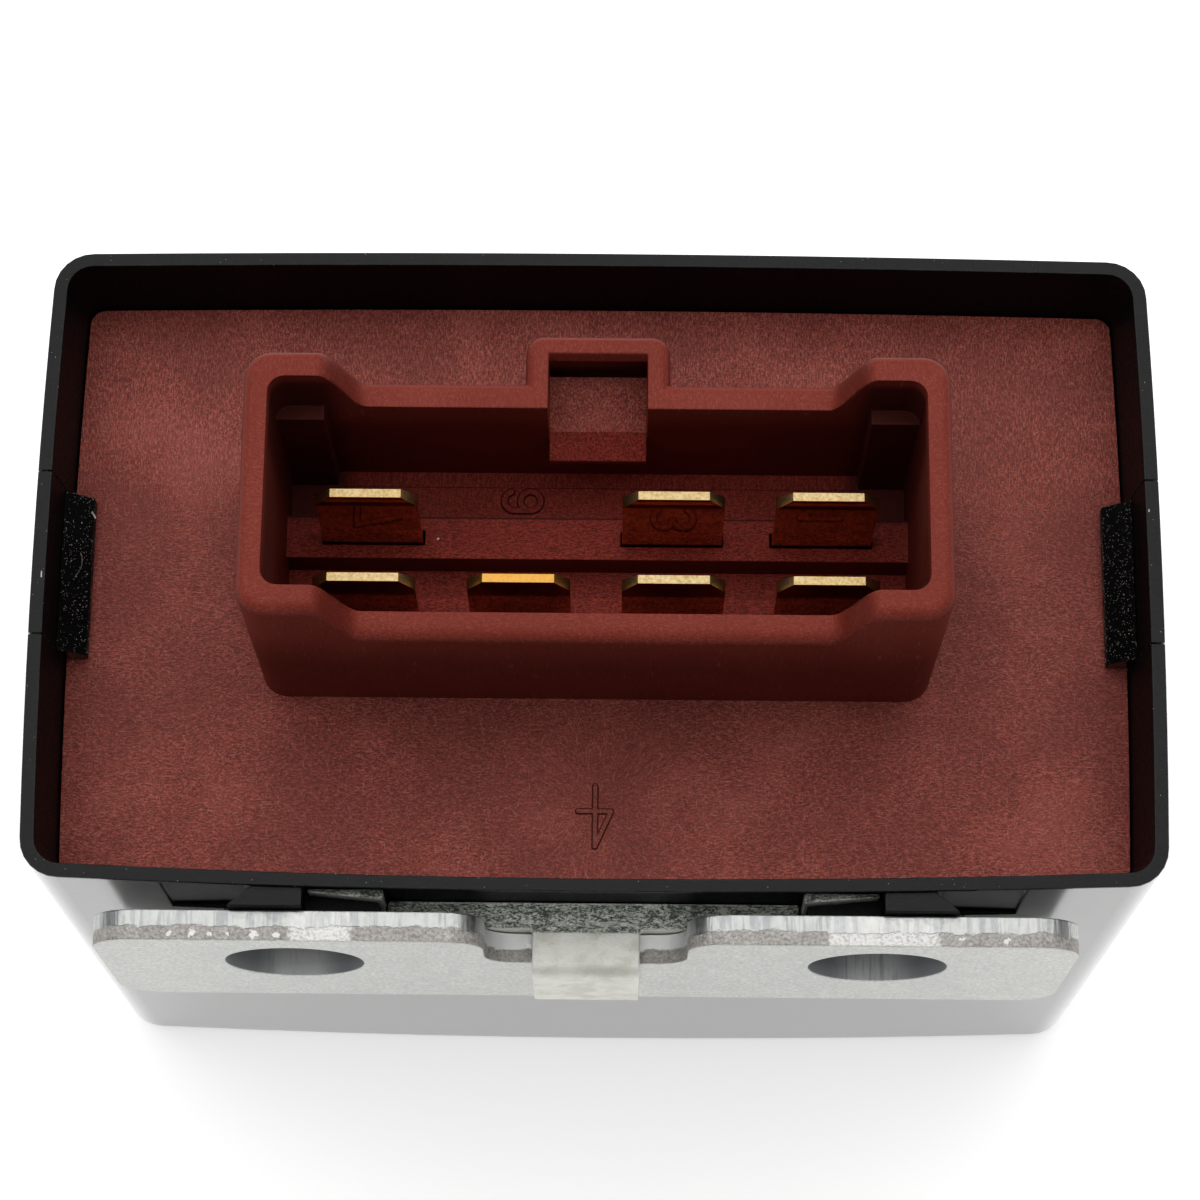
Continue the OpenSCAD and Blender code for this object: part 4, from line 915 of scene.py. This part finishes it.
def buildStrokes(lines, width, rise, flank, step):
    tree = lines.tree
    box = signals(newNode(tree, "GeometryNodeBoundBox", {0: lines}))
    span = parts(vectorCalc("SUBTRACT", box["Max"], box["Min"]))
    middle = scaled(vectorCalc("ADD", box["Max"], box["Min"]), 0.5)
    half = width * 0.5
    outer = half + flank
    limit = outer + step
    margin = width + flank * 4.0
    sizes = [span[axis] + margin for axis in (0, 1)]
    grid = gridOf(*sizes, *[size / step for size in sizes])
    away = add(tree, "GeometryNodeProximity", "Distance", {0: lines}, target_element="EDGES")
    near = {0: shifted(grid, middle), 1: exceeds(away, limit)}
    kept = add(tree, "GeometryNodeDeleteGeometry", 0, near, domain="FACE")
    # The sloping sides are marked so that the base's finish can paint shade on them
    slope = remap(away, half - flank * 0.2, half) * remap(away, limit, outer)
    marked = {"Geometry": kept, "Name": "flank", "Value": slope}
    kept = add(tree, "GeometryNodeStoreNamedAttribute", 0, marked, data_type="FLOAT", domain="POINT")
    footDepth = reliefShape["foot"] * mm
    pulled = {"Mesh": kept, "Offset Scale": -footDepth, "Individual": False}
    foot = add(tree, "GeometryNodeExtrudeMesh", "Mesh", pulled, mode="FACES")
    whole = {"Geometry": bothOf(kept, add(tree, "GeometryNodeFlipFaces", 0, {0: foot})),
             "Distance": meshLimits["sliver"]}
    closed = add(tree, "GeometryNodeMergeByDistance", 0, whole)
    height = parts(add(tree, "GeometryNodeInputPosition", 0))[2]
    upper = exceeds(height, parts(box["Min"])[2] - footDepth / 2)
    lift = remap(away, outer, half, -reliefShape["sunk"] * mm, rise)
    return shifted(closed, joinedUp(0.0, 0.0, lift), upper)


strokeInputs = {"Width": 0.0003, "Rise": 0.0001, "Flank": 0.0001, "Step": 0.00005}
strokeTree = makeTree("raisedStrokes", buildStrokes, strokeInputs, basePlastic)


def makeNumber(name, spec):
    turn = Matrix.Rotation(math.radians(spec["turn"]), 2)
    x, y = spec["place"]
    points, edges = [], []
    for stroke in digitStrokes[spec["digit"]]:
        for order, (u, v) in enumerate(stroke):
            spot = turn @ Vector((u, v - 0.5)) * spec["height"] * mm
            if order:
                edges.append((len(points) - 1, len(points)))
            points.append((x * mm + spot.x, y * mm + spot.y, rimTop - spec["belowRim"] * mm))
    mesh = bpy.data.meshes.new(name)
    mesh.from_pydata(points, edges, [])
    number = grow(newPiece(name, mesh, basePlastic), *strokeTree, {
        "Width": spec["wide"] * mm, "Rise": spec["rise"] * mm, "Flank": reliefShape["flank"] * mm,
        "Step": reliefShape["step"] * mm})
    number.data.shade_smooth()
    dress(number, "base_plastic", "housing")


for order, spec in enumerate(numberPlaces):
    makeNumber(f"mould_number_{order + 1}", spec)


# Coil windings: a helix of wire on a sleeve
windingShape = {"wire": 0.24, "sides": 6, "perTurn": 28, "skinShare": 0.9}


def buildHelix(sleeve, radius, height, wire, place):
    wireRadius = wire * 0.5
    middle = radius - wireRadius
    climb = height - wire
    spiral = add(sleeve.tree, "GeometryNodeCurveSpiral", 0, {
        "Resolution": windingShape["perTurn"], "Rotations": climb / wire, "Start Radius": middle,
        "End Radius": middle, "Height": climb})
    turns = {"Geometry": tubeAlong(spiral, windingShape["sides"], wireRadius), "Translation": place}
    return bothOf(sleeve, add(sleeve.tree, "GeometryNodeTransform", 0, turns))


windingInputs = {"Radius": 0.005, "Length": 0.01, "Wire": 0.0002, "Place": (0, 0, 0)}
windingTree = makeTree("wireHelix", buildHelix, windingInputs, metals["copperWire"])


def makeWinding(relay):
    low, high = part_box(f"{relay}_coil")
    radius = (high.x - low.x) / 2
    middle = (low + high) / 2
    wire = windingShape["wire"] * mm
    shrink = 1 - wire / radius
    sleeve = mergedCopy(f"{relay}_coil")
    skin = [v for v in sleeve.verts if (v.co.xy - middle.xy).length > radius * windingShape["skinShare"]]
    bmesh.ops.scale(sleeve, vec=(shrink, shrink, 1), verts=skin, space=Matrix.Translation(-middle))
    winding = settle(sleeve, f"{relay}_winding", metals["copperWire"])
    winding = grow(winding, *windingTree, {
        "Radius": radius, "Length": high.z - low.z, "Wire": wire,
        "Place": (middle.x, middle.y, low.z + wire / 2)})
    dress(winding, "winding", "housing", f"{relay}_coil")


relays = ("relay_a", "relay_b")
for relay in relays:
    makeWinding(relay)


# Leaf springs between the yoke and the armature, one for each joint, copied from their solids
for joint in frame["joints"]:
    relay = joint["child"].replace("_clapper", "")
    leaf = settle(mergedCopy(f"{relay}_leaf_spring"), f"{relay}_leaf", metals["springBronze"])
    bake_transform(leaf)
    dress(leaf, "spring_bronze", None, f"{relay}_leaf_spring")


# Grit on the latches and the rim, thickest in patches
latchGrit = {"density": 3.6e7, "size": 0.036, "seed": 4, "x": (31.8, 33.6), "z": (46.2, 48.6),
             "upward": 0.2, "sideways": 0.8}
rimGrit = {"density": 1.2e6, "size": 0.045, "seed": 9, "depth": 0.2, "upward": 0.3}
gritPatch = {"scale": 0.8, "from": (0.42, 0.66), "share": (0.04, 1.0)}
flakeTurn = ((0, 0, 0), (math.tau, math.tau, math.tau))
flakeStretch = ((0.3, 0.3, 0.2), (1.5, 1.0, 0.5))


def buildScatter(faces, density, size, seed):
    tree = faces.tree
    place = scaled(add(tree, "GeometryNodeInputPosition", 0), 1 / mm)
    blotch = noise(place, gritPatch["scale"], detail=3.0, rough=0.6)
    patch = remap(blotch, *gritPatch["from"], *gritPatch["share"])
    points = add(tree, "GeometryNodeDistributePointsOnFaces", "Points",
                 {"Mesh": faces, "Density": density * patch, "Seed": seed})
    flake = add(tree, "GeometryNodeMeshIcoSphere", "Mesh", {"Radius": size, "Subdivisions": 1})
    turn, stretch = [add(tree, "FunctionNodeRandomValue", 0, {0: low, 1: high, "Seed": seed},
                         data_type="FLOAT_VECTOR") for low, high in (flakeTurn, flakeStretch)]
    strewn = {"Points": points, "Instance": flake, "Rotation": turn, "Scale": stretch}
    return add(tree, "GeometryNodeInstanceOnPoints", 0, strewn)


gritTree = makeTree("gritScatter", buildScatter, {"Density": 1e6, "Size": 0.00005, "Seed": 0}, grit)


def onLatch(face):
    spot = face.calc_center_median() / mm
    (nearX, farX), (lowZ, highZ) = latchGrit["x"], latchGrit["z"]
    shown = face.normal.z > latchGrit["upward"] or abs(face.normal.x) > latchGrit["sideways"]
    return nearX < abs(spot.x) < farX and lowZ < spot.z < highZ and shown


def onRim(face):
    high = face.calc_center_median().z > rimTop - rimGrit["depth"] * mm
    return high and face.normal.z > rimGrit["upward"]


def makeGritPiece(name, chosen, spec):
    work = bmesh.new()
    work.from_mesh(relayCase.data)
    bmesh.ops.delete(work, geom=[f for f in work.faces if not chosen(f)], context="FACES")
    mesh = bpy.data.meshes.new(name)
    work.to_mesh(mesh)
    work.free()
    piece = grow(newPiece(name, mesh, grit), *gritTree, {
        "Density": spec["density"], "Size": spec["size"] * mm, "Seed": spec["seed"]})
    dress(piece, "case_plastic", "housing")


makeGritPiece("latch_grit", onLatch, latchGrit)
makeGritPiece("rim_grit", onRim, rimGrit)

# A hair, bits of lint and a speck, each a thin tube along a bent line in mm
fibrePaths = [
    {"thick": 0.016, "path": [(-32.97, 1.61, 47.78), (-32.87, 1.25, 47.66), (-32.88, 0.77, 47.67),
                              (-33.0, 0.32, 47.83), (-33.2, -0.1, 48.1)]},
    {"thick": 0.12, "path": [(-32.5, 4.58, 47.2), (-32.38, 4.38, 47.06), (-32.28, 4.2, 46.98)]},
    {"thick": 0.09, "path": [(-34.64, -1.0, 52.02), (-34.63, -1.2, 52.03), (-34.63, -1.42, 52.02)]},
    {"thick": 0.12, "path": [(34.58, 3.7, 52.02), (34.58, 3.52, 52.02)]},
    {"thick": 0.18, "path": [(-10.12, 2.2, 49.52), (-10.05, 2.12, 49.52)]},
]
fibreSteps = {"along": 12, "round": 6}


def buildFibre(lines, thick):
    line = add(lines.tree, "GeometryNodeMeshToCurve", 0, {0: lines})
    fine = add(lines.tree, "GeometryNodeResampleCurve", 0, {"Curve": line, "Count": fibreSteps["along"]})
    return tubeAlong(fine, fibreSteps["round"], thick * 0.5)


fibreTree = makeTree("fibreTube", buildFibre, {"Thick": 0.0001}, grit)
for order, spec in enumerate(fibrePaths):
    name, path = f"lint_{order + 1}", spec["path"]
    mesh = bpy.data.meshes.new(name)
    mesh.from_pydata([Vector(p) * mm for p in path], [(i, i + 1) for i in range(len(path) - 1)], [])
    lint = grow(newPiece(name, mesh, grit), *fibreTree, {"Thick": spec["thick"] * mm})
    dress(lint, "case_plastic", "housing")


# Inner nodes keep their shapes and take a finish
insideFinishes = {"circuit_board": boardLaminate, "solder_joints": metals["tinSolder"]}
axialFinishes = {"resistor": "resistorBody", "diode_a": "diodeBodyA", "diode_b": "diodeBodyB"}
for node, name in axialFinishes.items():
    look = {**axialLooks[node.split("_")[0]], "node": node}
    insideFinishes[node] = makeFinish(name, paintAxial, look)
relayFinishes = {
    "yoke": metals["relayIron"], "core": metals["relayIron"], "armature": metals["relayIron"],
    "bobbin": bobbinNylon, "coil_pins": metals["tinSolder"], "contact_strip": metals["springBronze"],
    "moving_contact": metals["contactSilver"], "fixed_contact": metals["contactSilver"],
}
for relay in relays:
    insideFinishes.update({f"{relay}_{part}": finish for part, finish in relayFinishes.items()})
for name, finish in insideFinishes.items():
    nodes[name].data.materials.clear()
    nodes[name].data.materials.append(finish)
print("inner finishes set on", len(insideFinishes), "nodes")


# Floor, world and lamps; the floor's lengths are in mm, the lamps' in metres
studio = {"floorSize": 6000, "floorGlow": 0.62, "mirrorGlow": 0.8, "worldLight": 0.06, "worldMirror": 0.3,
          "fade": (350, 1200), "paper": (246, 246, 245), "white": (1, 1, 1, 1)}


# White far from the object for the camera, so that no horizon shows
def paintFloor(place, look):
    path = signals(newNode(place.tree, "ShaderNodeLightPath"))
    glow = remap(length(place), *look["fade"], look["floorGlow"], 1.0)
    shine = path["Is Camera Ray"] * glow + path["Is Glossy Ray"] * look["mirrorGlow"]
    return {"Base Color": linear(*look["paper"]), "Roughness": 0.9, "Specular IOR Level": 0.0,
            "Emission Color": look["white"], "Emission Strength": shine}


def makeFloor():
    mesh = bpy.data.meshes.new("floor")
    half = studio["floorSize"] * mm / 2
    corners = [(-half, -half, 0), (half, -half, 0), (half, half, 0), (-half, half, 0)]
    mesh.from_pydata(corners, [], [(0, 1, 2, 3)])
    floor = newPiece("floor", mesh, makeFinish("floorPaper", paintFloor, studio))


def makeWorld():
    world = bpy.data.worlds.new("studioWorld")
    stage.world = world
    world.use_nodes = True
    path = signals(newNode(world.node_tree, "ShaderNodeLightPath"))
    seen = calc("ADD", path["Is Camera Ray"], path["Is Transmission Ray"], clamp=True)
    glow = remap(path["Is Glossy Ray"], 0.0, 1.0, studio["worldLight"], studio["worldMirror"], smooth=False)
    sky = world.node_tree.nodes["Background"]
    setSockets(sky, {"Color": studio["white"], "Strength": larger(glow, seen)})


lamps = [  # a broad key from above the far side, a weak fill from the near side
    {"name": "keyLamp", "place": (-0.03, 0.2, 0.6), "size": (1.4, 0.8), "watts": 5.6},
    {"name": "fillLamp", "place": (0.25, -0.5, 0.45), "size": (0.5, 0.5), "watts": 0.24},
]


def makeLamp(spec):
    data = bpy.data.lights.new(spec["name"], "AREA")
    data.shape = "RECTANGLE"
    data.size, data.size_y = spec["size"]
    data.energy = spec["watts"]
    lamp = bpy.data.objects.new(spec["name"], data)
    stage.collection.objects.link(lamp)
    lamp.location = spec["place"]
    aim = Vector((0, 0, rimTop)) - lamp.location
    lamp.rotation_euler = aim.to_track_quat("-Z", "Y").to_euler()


makeFloor()
makeWorld()
for spec in lamps:
    makeLamp(spec)


# Camera at the photograph's viewing angle, set out from the middle of the case's rim
view = {"lens": 101.386, "distance": 210.988, "tiltDeg": -17.4637, "turnDeg": -0.3266, "rollDeg": -0.6073,
        "slide": (-0.1981, 2.4545), "sensor": 36, "clip": (0.01, 20)}


def makeCamera():
    toCamera = (Matrix.Rotation(math.radians(view["rollDeg"]), 3, "Z")
                @ Matrix.Rotation(math.radians(view["tiltDeg"]), 3, "X")
                @ Matrix.Rotation(math.radians(view["turnDeg"]), 3, "Y"))
    toWorld = toCamera.transposed()
    eye = toWorld @ Vector((-view["slide"][0], -view["slide"][1], view["distance"])) * mm
    data = bpy.data.cameras.new("camera")
    data.lens = view["lens"]
    data.sensor_width = view["sensor"]
    data.clip_start, data.clip_end = view["clip"]
    camera = bpy.data.objects.new("camera", data)
    stage.collection.objects.link(camera)
    camera.matrix_world = Matrix.Translation(eye + Vector((0, 0, rimTop))) @ toWorld.to_4x4()
    stage.camera = camera


makeCamera()
print("studio set")
